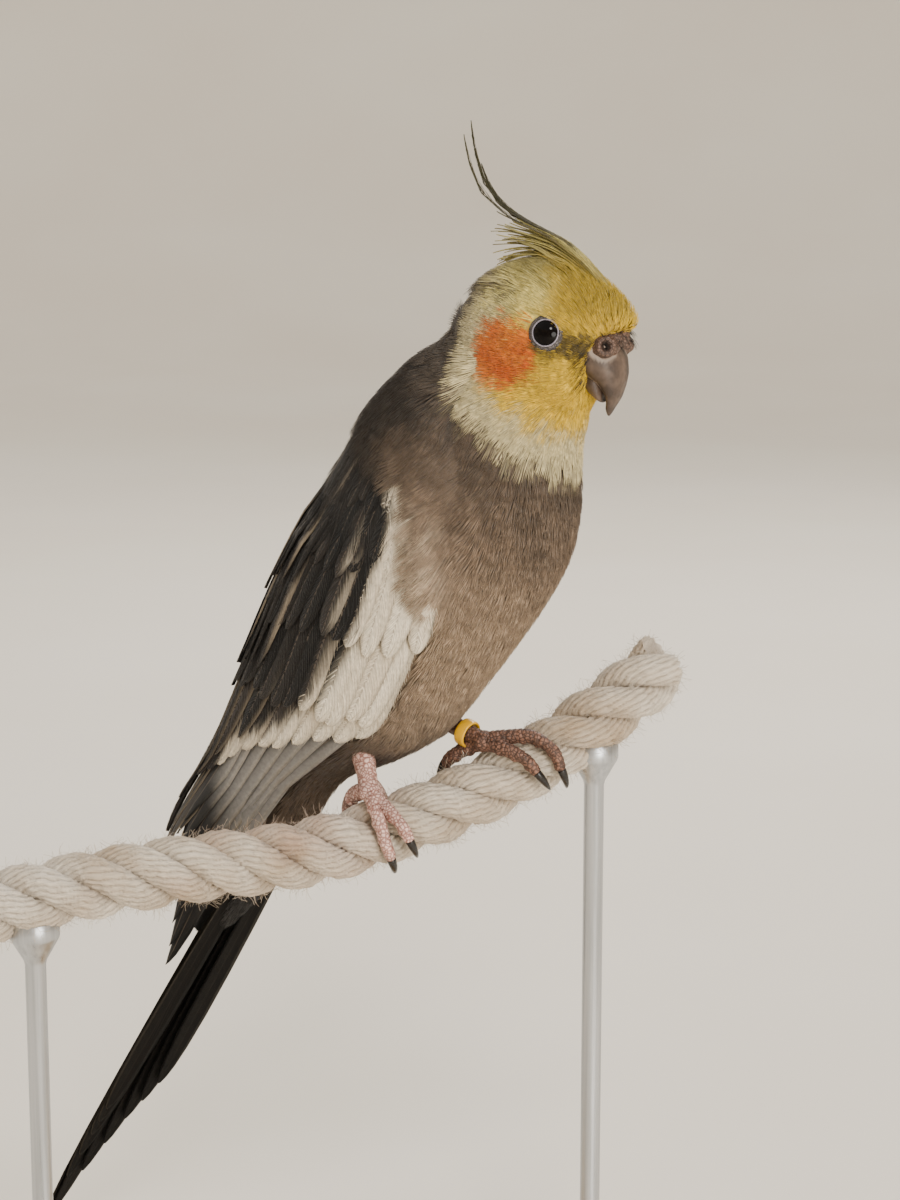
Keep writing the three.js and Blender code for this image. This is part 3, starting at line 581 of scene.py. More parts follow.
class BodyMap:
    """Finds for any place the nearest point of the trunk or skull, and where that lies on them.

    A row holds its station, its angle, its place on the unwrap across and up, and 1 on the skull.
    """

    def __init__(self):
        rows, points = [], []
        for form, low, tall in ((trunk, 0.02, 0.62), (skull, 0.70, 0.28)):
            s, a = form.spread(170, 120)
            points.append(form.point(s, a).reshape(-1, 3))
            s, a = s.ravel(), a.ravel()
            across, up = a / (2 * math.pi) * 0.96 + 0.02, low + tall * s / form.last
            rows.append(np.stack([s, a, across, up, np.full(s.size, form is skull)], -1))
        self.rows = np.concatenate(rows)
        self.tree = place_tree(np.concatenate(points))

    def read(self, points):
        return self.rows[[self.tree.find(p)[1] for p in points]]


body_map = BodyMap()


def from_back(rows):
    """Degrees round the body from the line of the back, the same on both sides."""
    angle = np.degrees(rows[:, 1])
    return np.where(angle > 180, 360 - angle, angle)


# Markings: middles of the face and ear patch, then lines of the lores, the nape and the wing's white
FACE = np.array([33.0, 0.0, 66.0])
EAR = np.array([25.6, 14.7, 63.2])
EAR_SIZE = np.array([7.9, 9.0, 7.3])
LORE_LINE = (np.array([35.0, 13.5, 65.6]), np.array([43.0, 8.5, 64.9]))
NAPE_LINE = [[48, 16], [51.5, 12.5], [55, 11], [62, 12.9], [69, 12.4], [76, 13.5]]
WHITE_FRONT = [[2.6, 70], [3.75, 90], [4.3, 96], [4.8, 101], [5.3, 105], [5.9, 114], [6.4, 125], [7, 127]]


def body_shade(points, rows, rough, wide):
    """The breast and belly with white beside the wing, then the darker neck, back and rump."""
    station, angle = rows[:, 0], from_back(rows)
    # The top of the breast is painted darker: painted shadow under the head
    shade = mixed(BREAST * 0.66, BREAST, smooth(2.2, 4.4, station + 0.4 * wide))
    # Lower on the body the colour turns to the belly's, with its painted light
    shade = mixed(shade, BELLY_PAINTED_LIGHT, smooth(4.0, 6.5, station))
    # Further back it turns to the vent's colour, darkened with painted shade
    shade = mixed(shade, VENT_PAINTED_SHADE, smooth(6.6, 8.8, station))
    limit = looked_up(WHITE_FRONT, station)
    fade = smooth(15, 5, angle - limit) * smooth(3.8, 4.8, station) * smooth(6.8, 6.2, station)
    shade = mixed(shade, WING_SHADE, fade * np.clip(0.15 + 0.45 * rough, 0, 1))
    inside = smooth(-9, 3, limit - angle + 8 * smooth(3.6, 2.6, station))
    back = smooth(92, 56, angle + 7 * wide) * inside
    neck = smooth(5.4, 2.6, station + 0.5 * wide)
    shade = mixed(shade, MANTLE, np.maximum(back, 0.45 * neck))
    shade = mixed(shade, TAIL_DARK, smooth(11.2, 12.8, station))
    folds = ripple(points * np.array([1.0, 1.6, 0.4]), 3.2, 16) * smooth(1.0, 3.0, station)
    shade = shade * (1 + 0.22 * folds)[:, None]
    return np.where(rows[:, 4:] > 0.5, NAPE_GREY, shade)


def face_shade(shade, points, p, rough, wide):
    """The cream hood with its grey nape, and on it the yellow face and the dark crown."""
    x, z = p[:, 0], p[:, 2]
    reach = np.linalg.norm(p - FACE, axis=1)
    cream = smooth(30.6, 26.0, reach + 1.3 * rough + 1.2 * wide - 2.0 * smooth(14, 4, x))
    shade = mixed(shade, CREAM, cream)
    on_head = smooth(35, 31, reach) * smooth(45, 48, z)
    hind = smooth(9.5, 5.0, p[:, 1] + 0.8 * rough) * smooth(26, 20, x) * on_head
    shade = mixed(shade, NAPE_GREY, hind)
    behind = x + 0.8 * rough - looked_up(NAPE_LINE, z)
    shade = mixed(shade, NAPE_GREY, smooth(1.5, -1.5, behind) * smooth(78, 75, z) * on_head)
    yellow = smooth(22.0, 18.0, reach + 1.4 * rough + 1.0 * wide)
    shade = mixed(shade, YELLOW, yellow * (1 - smooth(30, 26, x) * smooth(60, 66, z)))
    above = smooth(69, 74, z) * smooth(39, 33, x)
    shade = mixed(shade, PALE_YELLOW, yellow * above * 0.9)
    shade = mixed(shade, OLIVE, smooth(76, 81.5, z + rough) * smooth(25, 31, x) * 0.75)
    streak = ripple(points * np.array([0.35, 1.2, 1.0]), 2.0, 15)
    crown = smooth(69, 76, z) * smooth(31, 25, x) * smooth(-0.05, 0.3, streak)
    return mixed(shade, CROWN_DARK, crown * 0.85)


def marks_shade(shade, p, rough):
    """The dark lores, the forehead over the bill and the orange ear patch."""
    start, end = LORE_LINE
    run = np.clip(((p - start) @ (end - start)) / np.sum((end - start) ** 2), 0, 1)
    lore = np.linalg.norm(p - (start + run[:, None] * (end - start)), axis=1)
    shade = mixed(shade, LORE, smooth(4.3, 1.6, lore + 0.5 * rough) * 0.95)
    deep = smooth(34, 41, p[:, 0]) * smooth(68, 73, p[:, 2]) * 0.65
    shade = mixed(shade, FOREHEAD, deep)
    ear = np.linalg.norm((p - EAR) / EAR_SIZE, axis=1)
    pale = np.clip(0.35 + 0.5 * rough + 0.05 * (p[:, 2] - EAR[2]), 0, 1)
    patch = mixed(ORANGE, ORANGE_PALE, pale)
    return mixed(shade, patch, smooth(1.15, 0.88, ear + 0.05 * rough))


def plumage(points, rows):
    """The colour of the body's small feathers at each place."""
    p = one_side(points)
    rough, wide = ripple(points, 3.0, 11), ripple(points, 11.0, 12)
    shade = body_shade(points, rows, rough, wide)
    shade = face_shade(shade, points, p, rough, wide)
    return marks_shade(shade, p, rough)


# Skin
def ball(middle, radii, lean=0.0, rows=40, columns=48, squeeze=0.0):
    """Rings of an oval ball, its pole along x, leaned about y."""
    t, a = grid(np.linspace(0.02, math.pi - 0.02, rows), turns(columns))
    r = np.array(radii) - squeeze
    x, y, z = np.cos(t) * r[0], np.sin(t) * np.cos(a) * r[1], np.sin(t) * np.sin(a) * r[2]
    c, s = math.cos(lean), math.sin(lean)
    return np.stack([x * c + z * s, y, -x * s + z * c], -1) + np.array(middle)


def make_skin():
    """One closed skin round trunk, skull and thighs, inside the solids by the coat's depth."""
    parts = [lofts(trunk.rings(150, 96, -COAT_DEPTH)), lofts(skull.rings(90, 96, -FACE_DEPTH))]
    for side in (-1, 1):
        x, y, z = THIGH["middle"]
        parts.append(lofts(ball((x, side * y, z), THIGH["radii"], THIGH["lean"], squeeze=COAT_DEPTH)))
    skin = new_object("skin", gathered(parts))
    whole = skin.modifiers.new("Whole", "REMESH")
    whole.mode = "VOXEL"
    whole.voxel_size = SKIN_VOXEL
    ease = skin.modifiers.new("Ease", "SMOOTH")
    ease.factor = 0.5
    ease.iterations = SKIN_SMOOTHING
    make_plain(skin)
    skin.data.polygons.foreach_set("use_smooth", np.ones(len(skin.data.polygons), bool))
    return skin


def mesh_points(obj):
    co = np.zeros(len(obj.data.vertices) * 3, np.float32)
    obj.data.vertices.foreach_get("co", co)
    return co.reshape(-1, 3).astype(float) / MM - BIRD_PLACE


skin = make_skin()
skin_points = mesh_points(skin)
# The skin's colours are the coat's, darkened as painted shade beneath it
paint(skin, "plumage", plumage(skin_points, body_map.read(skin_points)) * SKIN_PAINTED_SHADE)
skin.data.materials.append(skin_finish())
finished(skin, "body_plumage", "head", "neck", "torso")
skin.data.calc_loop_triangles()
skin_tris = np.zeros(len(skin.data.loop_triangles) * 3, np.int32)
skin.data.loop_triangles.foreach_get("vertices", skin_tris)
skin_tris = skin_tris.reshape(-1, 3)
skin_tree = BVHTree.FromPolygons(skin_points.tolist(), skin_tris.tolist())


# Small feathers of the body, each a fan of fine barbs that lies along the skin
BILL_BASE = np.array([44.0, 0.0, 62.0])
NECK_AXIS = unit(np.array([0.469, 0.0, 0.883]))
NECK_MARK = np.array([20.5, 0.0, 53.0])


def flow(points, rows, normals):
    """The lie of the coat: back from the bill over the head, then down the body."""
    station, angle = rows[:, 0], rows[:, 1]
    body = np.zeros_like(points)
    for form, mask in ((trunk, rows[:, 4] < 0.5), (skull, rows[:, 4] > 0.5)):
        if mask.any():
            along = form.axes(station[mask], angle[mask], -1)[0]
            body[mask] = unit(along) if form is trunk else -NECK_AXIS
    head = unit(points - BILL_BASE)
    share = smooth(-9, 5, (points - NECK_MARK) @ NECK_AXIS)
    degrees = from_back(rows)
    bend = 0.6 * smooth(62, 80, degrees) * smooth(130, 108, degrees)
    bend = bend * smooth(2.4, 4, station) * smooth(8.2, 6.8, station) * (rows[:, 4] < 0.5)
    around = np.cross(normals, body) * np.where(points[:, 1:2] < 0, -1, 1)
    way = mixed(body + around * bend[:, None], head, share)
    return unit(way - normals * np.sum(way * normals, -1, keepdims=True))


def spaced(points, gap):
    """Those of these places that keep this gap from the ones before them."""
    kept, cells, cell = [], {}, 3.0
    for n, p in enumerate(points):
        key = tuple((p // cell).astype(int))
        near = [m for i in (-1, 0, 1) for j in (-1, 0, 1) for k in (-1, 0, 1)
                for m in cells.get((key[0] + i, key[1] + j, key[2] + k), ())]
        if all(np.sum((points[m] - p) ** 2) > gap * gap for m in near):
            cells.setdefault(key, []).append(n)
            kept.append(n)
    return points[kept]


def scattered(count, weight, gap, seed):
    """Places on the skin, as dense as weight says and at least this gap apart."""
    rng = np.random.default_rng(seed)
    a, b, c = (skin_points[skin_tris[:, n]] for n in range(3))
    area = np.linalg.norm(np.cross(b - a, c - a), axis=1) / 2 * weight((a + b + c) / 3)
    pick = rng.choice(len(area), count, p=area / area.sum())
    u, v = rng.random((2, count, 1))
    over = (u + v) > 1
    u, v = np.where(over, 1 - u, u), np.where(over, 1 - v, v)
    return spaced(a[pick] * (1 - u - v) + b[pick] * u + c[pick] * v, gap)


def settle(points, tree):
    """The nearest places on a surface, and its normals there."""
    near = [tree.find_nearest(p) for p in points]
    return np.array([n[0] for n in near]), np.array([n[1] for n in near])


# Height of the folded wing over the trunk, from the line of its front edge backward
WING_FRONT = [[2.6, 70], [3, 75], [4, 88], [4.7, 97], [5.5, 111], [6.2, 124], [7, 127], [9, 128]]
WING_TOP = 6.3
NAPE_TOP = [[-0.4, 2.2], [0, 2.9], [1, 4.2], [2, 5.3], [3, 6.3]]


def wing_height(station, angle):
    """Millimetres from the trunk's form to the folded wing's outer face."""
    front = looked_up(WING_FRONT, station)
    begin = np.interp(angle, [0, 60, 95], [0.2, 1.5, 2.7])
    full = np.interp(angle, [0, 60, 95], [2.4, 3.1, 4.2])
    soft = 13 + 15 * smooth(5.0, 3.4, station)
    wing = WING_TOP * smooth(begin, full, station) * smooth(front + soft, front - 9, angle)
    return np.maximum(wing, looked_up(NAPE_TOP, station) * smooth(88, 18, angle))


def cover_point(station, degrees, side):
    """A place on the surface over the body and the folded wing."""
    angle = np.radians(degrees)
    return cloak.raised(station, angle, wing_height(station, degrees) - COAT_DEPTH, side)


def make_cover():
    """A search tree of the skin together with the surface over both folded wings."""
    points, tris, start = [skin_points], [skin_tris], len(skin_points)
    rows, columns = 110, 90
    for side in (-1, 1):
        s, a = grid(np.linspace(-0.4, 9, rows), np.linspace(2, 140, columns))
        points.append(cover_point(s, a, side).reshape(-1, 3))
        i, j = (x.ravel() for x in grid(np.arange(rows - 1), np.arange(columns - 1)))
        a = start + i * columns + j
        b, c, d = a + 1, a + 1 + columns, a + columns
        both = np.concatenate([np.stack([a, b, c], 1), np.stack([a, c, d], 1)])
        tris.append(both if side > 0 else both[:, ::-1])
        start += s.size
    return BVHTree.FromPolygons(np.concatenate(points).tolist(), np.concatenate(tris).tolist())


cover_tree = make_cover()


# Tufts: steps along their barbs, with the barb's width and painted shade at each step: painted shadow at
# the root, a little painted light at the tip
BARB_STEPS = np.array([0.0, 0.36, 0.72, 1.0])
BARB_WIDTH = np.array([0.75, 1.0, 0.78, 0.06])
BARB_PAINTED_SHADE = np.array([-0.45, -0.12, 0.05, 0.12])


def walked(start, way, normals, length, tree):
    """Places, ways across and normals at each step of lines that keep to a surface."""
    here, steps = start, [(start, unit(np.cross(way, normals)), normals)]
    for k in range(1, len(BARB_STEPS)):
        step = (length * (BARB_STEPS[k] - BARB_STEPS[k - 1]))[:, None]
        here, n = settle(here + way * step, tree)
        way = unit(way - n * np.sum(way * n, -1, keepdims=True))
        steps.append((here, unit(np.cross(way, n)), n))
    return (np.stack(x, 1)[:, None] for x in zip(*steps))


def fans(points, sizes, seed, tree):
    """Fans of barbs at these places; sizes gives length, width, barb width, rise and number."""
    rng = np.random.default_rng(seed)
    rows = body_map.read(points)
    places, normals = settle(points, tree)
    length, width, barb, rise = (np.asarray(sizes[k]) for k in ("length", "width", "barb", "rise"))
    width, barb, rise = (x[:, None, None] for x in (width, barb, rise))
    f, count = len(points), sizes["count"]
    length = length * rng.uniform(0.82, 1.18, f)
    way = flow(places, rows, normals)
    way = unit(way + unit(np.cross(way, normals)) * rng.normal(0, 0.12, (f, 1)))
    line, across, up = walked(places, way, normals, length, tree)
    fan = np.linspace(-1, 1, count)[None, :] + rng.normal(0, 0.08, (f, count))
    t = BARB_STEPS[None, None, :]
    short = 1 - 0.22 * fan ** 2
    short = short * rng.uniform(0.86, 1.0, (f, count))
    spread = fan[..., None] * (width / 2) * (0.25 + 0.75 * t ** 0.8)
    back = (t * (1 - short[..., None]))[..., None]
    move = np.concatenate([np.zeros_like(line[:, :, :1]), np.diff(line, axis=2)], 2)
    middle = line - move * back * 1.4 + across * spread[..., None]
    lift = (rise * (0.15 + 0.85 * t ** 1.3) - 0.35 * (1 - t) ** 2
            + rng.normal(0, 0.07, (f, count, 1)) * t)
    middle = middle + up * lift[..., None]
    half = (barb / 2 * BARB_WIDTH * rng.uniform(0.8, 1.2, (f, count, 1)))[..., None]
    ridge = 0.22 * half + 0.02
    rings = np.stack([middle - across * half, middle + across * half, middle + up * ridge], 3)
    return rings.reshape(f * count, len(BARB_STEPS), 3, 3), rows, rng


def map_rings(obj, homes, across, along, count=1):
    """The coat's map: each tuft or feather has a small patch at its home on the unwrap."""
    local = np.stack(np.broadcast_arrays(across[None, :], along[:, None]), -1) * PATCH
    uv = homes[:, None, None, None, :] + local
    lay_map(obj, "OFBake", np.broadcast_to(uv, (len(homes), count, *local.shape)).reshape(-1, 2))


def coat(name, points, sizes, seed, slot, tree):
    """One piece of the coat, its tufts coloured from the places where they root."""
    rings, rows, rng = fans(points, sizes, seed, tree)
    count, f = sizes["count"], len(points)
    obj = new_object(name, lofts(rings), coat_finish)
    base = plumage(points + rng.normal(0, 0.5, points.shape), rows)
    calm = 0.55 if slot == "head_plumage" else 1.0
    other = plumage(points + rng.normal(0, 0.7 + 0.7 * calm, points.shape), rows)
    vary = rng.normal(1, 0.10 * calm, (f, 1, 1)) * rng.normal(1, 0.07, (f, count, 1))
    share = rng.uniform(0, 1, (f, count, 1)) ** 1.5
    colours = (base[:, None, :] * (1 - share) + other[:, None, :] * share) * np.clip(vary, 0.6, 1.4)
    # Each barb is painted darker at its root, as shadow under the tufts over it, and a little lighter at
    # its tip
    fall = (1 + calm * BARB_PAINTED_SHADE)[None, None, :, None, None]
    full = np.broadcast_to(colours[:, :, None, None, :] * fall, (f, count, *rings.shape[1:3], 3))
    paint(obj, "plumage", full.reshape(-1, 3))
    map_rings(obj, rows[:, 2:4], np.array([0.0, 1.0, 0.5]), BARB_STEPS, count)
    finished(obj, slot)


bill_form = Form(UPPER_BILL)
bill_tree = place_tree(bill_form.point(*bill_form.spread(60, 48)).reshape(-1, 3))


def off_bill_and_eye(points):
    keep = np.ones(len(points), bool)
    for surface, _ in EYES.values():
        keep &= np.linalg.norm(points - surface, axis=1) + 0.35 * ripple(points, 1.5, 65) > 3.6
    near = gaps_to(bill_tree, points)
    front = (points[:, 0] > 33) & (points[:, 2] < 71) & (points[:, 2] > 48)
    return keep & ~(front & (near < 0.5))


def head_share(points):
    return smooth(-6, 3, (points - NECK_MARK) @ NECK_AXIS)


def part_of(sizes, mask):
    return {k: v if k == "count" else np.broadcast_to(v, mask.shape)[mask]
            for k, v in sizes.items()}


def nape_share(points):
    """How near the hollow of the nape a place is, where the feathers stand out to fill it."""
    away = np.linalg.norm((points - np.array([5.0, 0, 68.5])) / np.array([8, 13, 10]), axis=1)
    return smooth(1.1, 0.4, away)


def make_face_coat():
    face = scattered(20000, lambda p: 0.02 + head_share(p), 0.74, 21)
    face = face[off_bill_and_eye(face) & (head_share(face) > 0.05)]
    from_bill = np.linalg.norm(face - BILL_BASE, axis=1)
    grown = smooth(6, 24, from_bill)
    crown = smooth(77.5, 80.5, face[:, 2]) * smooth(8, 15, face[:, 0])
    brow = smooth(31, 39, face[:, 0]) * smooth(66.5, 71, face[:, 2]) * (1 - crown)
    rise = 0.4 + 0.4 * smooth(8, 26, from_bill) + 1.7 * crown + 2.2 * nape_share(face) + 1.2 * brow
    sizes = {"length": 2.4 + 3.0 * grown + 3.5 * crown, "width": 1.0 + 1.0 * grown,
             "barb": 0.24 + 0.08 * smooth(8, 24, from_bill), "rise": rise, "count": 5}
    half = face[:, 1] < 0
    for name, mask in (("coat_head_right", half), ("coat_head_left", ~half)):
        coat(name, face[mask], part_of(sizes, mask), 31, "head_plumage", skin_tree)


def make_body_coat():
    body = scattered(26000, lambda p: 0.02 + 1 - head_share(p), 1.24, 22)
    rows = body_map.read(body)
    station, angle = rows[:, 0], from_back(rows)
    under_wing = (station >= 8.1) & (station < 10.8) & (angle < 95)
    hidden = ((wing_height(station, angle) > 2.2) | under_wing) & (rows[:, 4] < 0.5)
    keep = (head_share(body) < 0.98) & ~hidden
    body, station = body[keep], station[keep]
    low = smooth(1.0, 4.0, station)
    sizes = {"length": 5.5 + 3.0 * low + 2.5 * smooth(8.5, 12, station), "width": 2.2 + 1.2 * low,
             "barb": 0.34 + 0.1 * low, "rise": 0.8 + 0.4 * low + 2.2 * nape_share(body), "count": 7}
    ends = {"coat_neck": 2.6, "coat_breast": 6.2, "coat_belly": 10.6, "coat_rump": 99}
    begin = -1
    for n, (name, end) in enumerate(ends.items()):
        mask = (station >= begin) & (station < end)
        coat(name, body[mask], part_of(sizes, mask), 41 + n, "body_plumage", skin_tree)
        begin = end


# Pieces over the wings: gap between their tufts, and the tufts' sizes
WING_COVER = {
    "coat_back": (1.3, dict(length=11.0, width=3.6, barb=0.38, rise=0.7, count=7)),
    "coat_mantle": (1.35, dict(length=9.5, width=3.2, barb=0.4, rise=0.9, count=7)),
    "coat_flank": (1.25, dict(length=10.5, width=3.0, barb=0.3, rise=0.9, count=8)),
}


def make_wing_cover():
    """Feathers of the back over the shoulders, between the wings, and of the flank over the wing."""
    rng = np.random.default_rng(52)
    places = {name: [] for name in WING_COVER}
    for side in (-1, 1):
        s, a = rng.uniform(-0.2, 4.1, 7500), rng.uniform(2, 116, 7500)
        end = np.interp(a, [0, 40, 80, 100], [3.6, 3.9, 4.1, 3.4])
        keep = (s < end) & (wing_height(s, a) > 0.6)
        places["coat_mantle"].append(cover_point(s[keep], a[keep], side))
        s, share = rng.uniform(2.5, 5.75, 4800), rng.uniform(0, 1, 4800)
        angle = looked_up(WHITE_FRONT, s + 0.3) - 5 + (20 + 9 * smooth(5.0, 3.8, s)) * share
        places["coat_flank"].append(cover_point(s, angle, side))
        s, a = rng.uniform(3.2, 8.8, 900), rng.uniform(2, 8.5, 900)
        places["coat_back"].append(cover_point(s, a, side))
    for name, (gap, sizes) in WING_COVER.items():
        points = spaced(np.concatenate(places[name]), gap)
        rows = body_map.read(points)
        high = smooth(0.0, 3.0, wing_height(rows[:, 0], from_back(rows)))
        low = smooth(0.2, 2.6, rows[:, 0]) * (rows[:, 4] < 0.5)
        sizes = dict(sizes, length=sizes["length"] * (0.55 + 0.45 * low),
                     rise=sizes["rise"] * (0.6 + 0.4 * high))
        sizes = part_of(sizes, np.ones(len(points), bool))
        coat(name, points, sizes, 53, "body_plumage", cover_tree)


make_face_coat()
make_body_coat()
make_wing_cover()


# Long feathers as thin closed vanes, with barbs laid over the soft ones
VANE_STEPS = np.array([0, 0.1, 0.25, 0.42, 0.6, 0.76, 0.88, 0.95, 0.985, 1.0])
VANE_COLUMNS = np.linspace(-1, 1, 7)
# Column of each point round a vane: over its upper face, then back under it
VANE_RING = np.concatenate([np.arange(7), np.arange(5, 0, -1)])
# Half width along the feather, as a share of its widest
VANE_SHAPES = {
    "round": np.array([0.3, 0.55, 0.85, 1.0, 1.0, 0.98, 0.85, 0.62, 0.38, 0.1]),
    "pointed": np.array([0.3, 0.6, 0.9, 1.0, 0.96, 0.8, 0.55, 0.32, 0.16, 0.04]),
}
BARB_PATH = np.array([0.0, 0.5, 1.0])
BARB_TAPER = np.array([1.0, 0.9, 0.15])


def slabs(place, normals, thick):
    """Closed vanes round these places, thickest at the shaft."""
    gap = normals * (thick * (1 - 0.8 * VANE_COLUMNS ** 2))[None, None, :, None]
    top, bottom = place + gap, place - gap
    return np.concatenate([top, bottom[:, :, -2:0:-1]], 2)


def vane_piece(name, finish, rings, lengths, halves, colours, homes, seed):
    """Vanes as one object, with their colours, barb lines, shafts and map."""
    obj = new_object(name, lofts(rings), finish)
    paint(obj, "plumage", colours[:, :, VANE_RING].reshape(-1, 3))
    across = VANE_COLUMNS[VANE_RING]
    c = np.abs(across)[None, None, :]
    along = VANE_STEPS[None, :, None] * lengths[:, None, None] - c * halves[..., None] * 1.1
    start = np.random.default_rng(seed).uniform(0, 9, (len(rings), 1, 1))
    note(obj, "barb", along + start)
    note(obj, "shaft", np.broadcast_to(c, along.shape))
    map_rings(obj, homes, across / 2 + 0.5, VANE_STEPS)
    return obj


def read_grid(values, f, u, c):
    """Values of feathers f at their steps and columns, read between them at u and c."""
    at_u = np.interp(u, VANE_STEPS, np.arange(len(VANE_STEPS)))
    at_c = (np.clip(c, -1, 1) + 1) / 2 * (len(VANE_COLUMNS) - 1)
    i = np.minimum(at_u.astype(int), len(VANE_STEPS) - 2)
    j = np.minimum(at_c.astype(int), len(VANE_COLUMNS) - 2)
    du, dc = at_u - i, at_c - j
    if values.ndim == 4:
        du, dc = du[..., None], dc[..., None]
    near = values[f, i, j] * (1 - du) + values[f, i + 1, j] * du
    far = values[f, i, j + 1] * (1 - du) + values[f, i + 1, j + 1] * du
    return near * (1 - dc) + far * dc


def barbs(place, normal, count, sweep, thick, rng):
    """Fine closed barbs from each feather's shaft to both edges, and where each of them lies."""
    n = len(place)
    f = np.arange(n)[:, None, None]
    side = np.repeat([-1.0, 1.0], count)[None, :, None]
    even = np.tile(np.linspace(0.0, 0.985, count), 2)[None, :]
    start = np.clip(even + rng.normal(0, 0.25 / count, (n, 2 * count)), 0, 0.99)[..., None]
    reach = rng.uniform(0.9, 1.05, (n, 2 * count, 1))
    u = start + np.minimum(sweep, 1 - start) * BARB_PATH ** 1.25
    c = side * BARB_PATH * reach
    lift = 0.02 + rng.uniform(0, 0.07, (n, 2 * count, 1)) * BARB_PATH
    out = read_grid(normal, f, u, c)
    middle = read_grid(place, f, u, c) + out * lift[..., None]
    way = unit(np.gradient(middle, axis=2))
    wide = unit(np.cross(way, out))
    half = (thick / 2 * BARB_TAPER * rng.uniform(0.8, 1.2, (n, 2 * count, 1)))[..., None]
    rings = np.stack([middle - wide * half, middle + wide * half, middle + out * (0.3 * half + 0.02)], 3)
    return rings, f, u, c


def barb_lot(rings, colours, homes, u, c):
    """Barbs' rings, with the colour and the place on the map of each of their points."""
    m = rings.shape[0] * rings.shape[1]
    uv = homes[:, None, None, :] + np.stack([c / 2 + 0.5, u], -1) * PATCH
    return [rings.reshape(m, 3, 3, 3)] + [np.repeat(x.reshape(m, 3, 1, -1), 3, 2) for x in (colours, uv)]


def barb_piece(name, lots, slot):
    rings, colours, places = (np.concatenate(x) for x in zip(*lots))
    obj = new_object(name, lofts(rings), coat_finish)
    paint(obj, "plumage", colours.reshape(-1, 3))
    lay_map(obj, "OFBake", places.reshape(-1, 2))
    finished(obj, slot)


def laid_vanes(side, spec):
    """Feathers laid on the folded wing's form: their places, normals, stations, angles and lengths."""
    u = VANE_STEPS[None, :]
    root, run = spec["root"], spec["tip"] - spec["root"]
    run_s, run_a, bow = run[:, :1], run[:, 1:], spec["bow"][:, None]
    station = root[:, :1] + run_s * u
    angle = root[:, 1:] + run_a * u + bow * np.sin(math.pi * u)
    along, around, normal = cloak.axes(station, angle, side)
    turn = run_a + bow * math.pi * np.cos(math.pi * u)
    across = unit(np.cross(along * run_s[..., None] + around * turn[..., None], normal))
    aa, bb, ab = (np.sum(x * y, -1) for x, y in ((along, along), (around, around), (along, around)))
    to_s, to_a = np.sum(along * across, -1), np.sum(around * across, -1)
    det = aa * bb - ab * ab
    move_s, move_a = (to_s * bb - to_a * ab) / det, (to_a * aa - to_s * ab) / det
    c = VANE_COLUMNS[None, None, :]
    wide = (spec["half"][:, None] * spec["shape"])[..., None] * c
    s = station[..., None] + wide * move_s[..., None]
    a = np.maximum(angle[..., None] + wide * move_a[..., None], math.radians(2.5))
    rise = spec["rise"][:, :1] + (spec["rise"][:, 1:] - spec["rise"][:, :1]) * np.minimum(u * 1.5, 1)
    height = (rise[..., None] + c * side * spec["lean"] * np.minimum(u * 4, 1)[..., None]
              + spec["arch"] * (1 - c ** 2) + spec["curl"] * (u[..., None] ** 6))
    cover = wing_height(s, np.degrees(a)) - COAT_DEPTH - 0.35 + 9 * smooth(5.8, 6.7, s)
    height = np.minimum(height, cover)
    normals = cloak.axes(s, a, side)[2]
    shafts = cloak.point(station, angle, side)
    length = np.sum(np.linalg.norm(np.diff(shafts, axis=1), axis=-1), 1)
    return cloak.point(s, a, side) + normals * height[..., None], normals, s, a, length


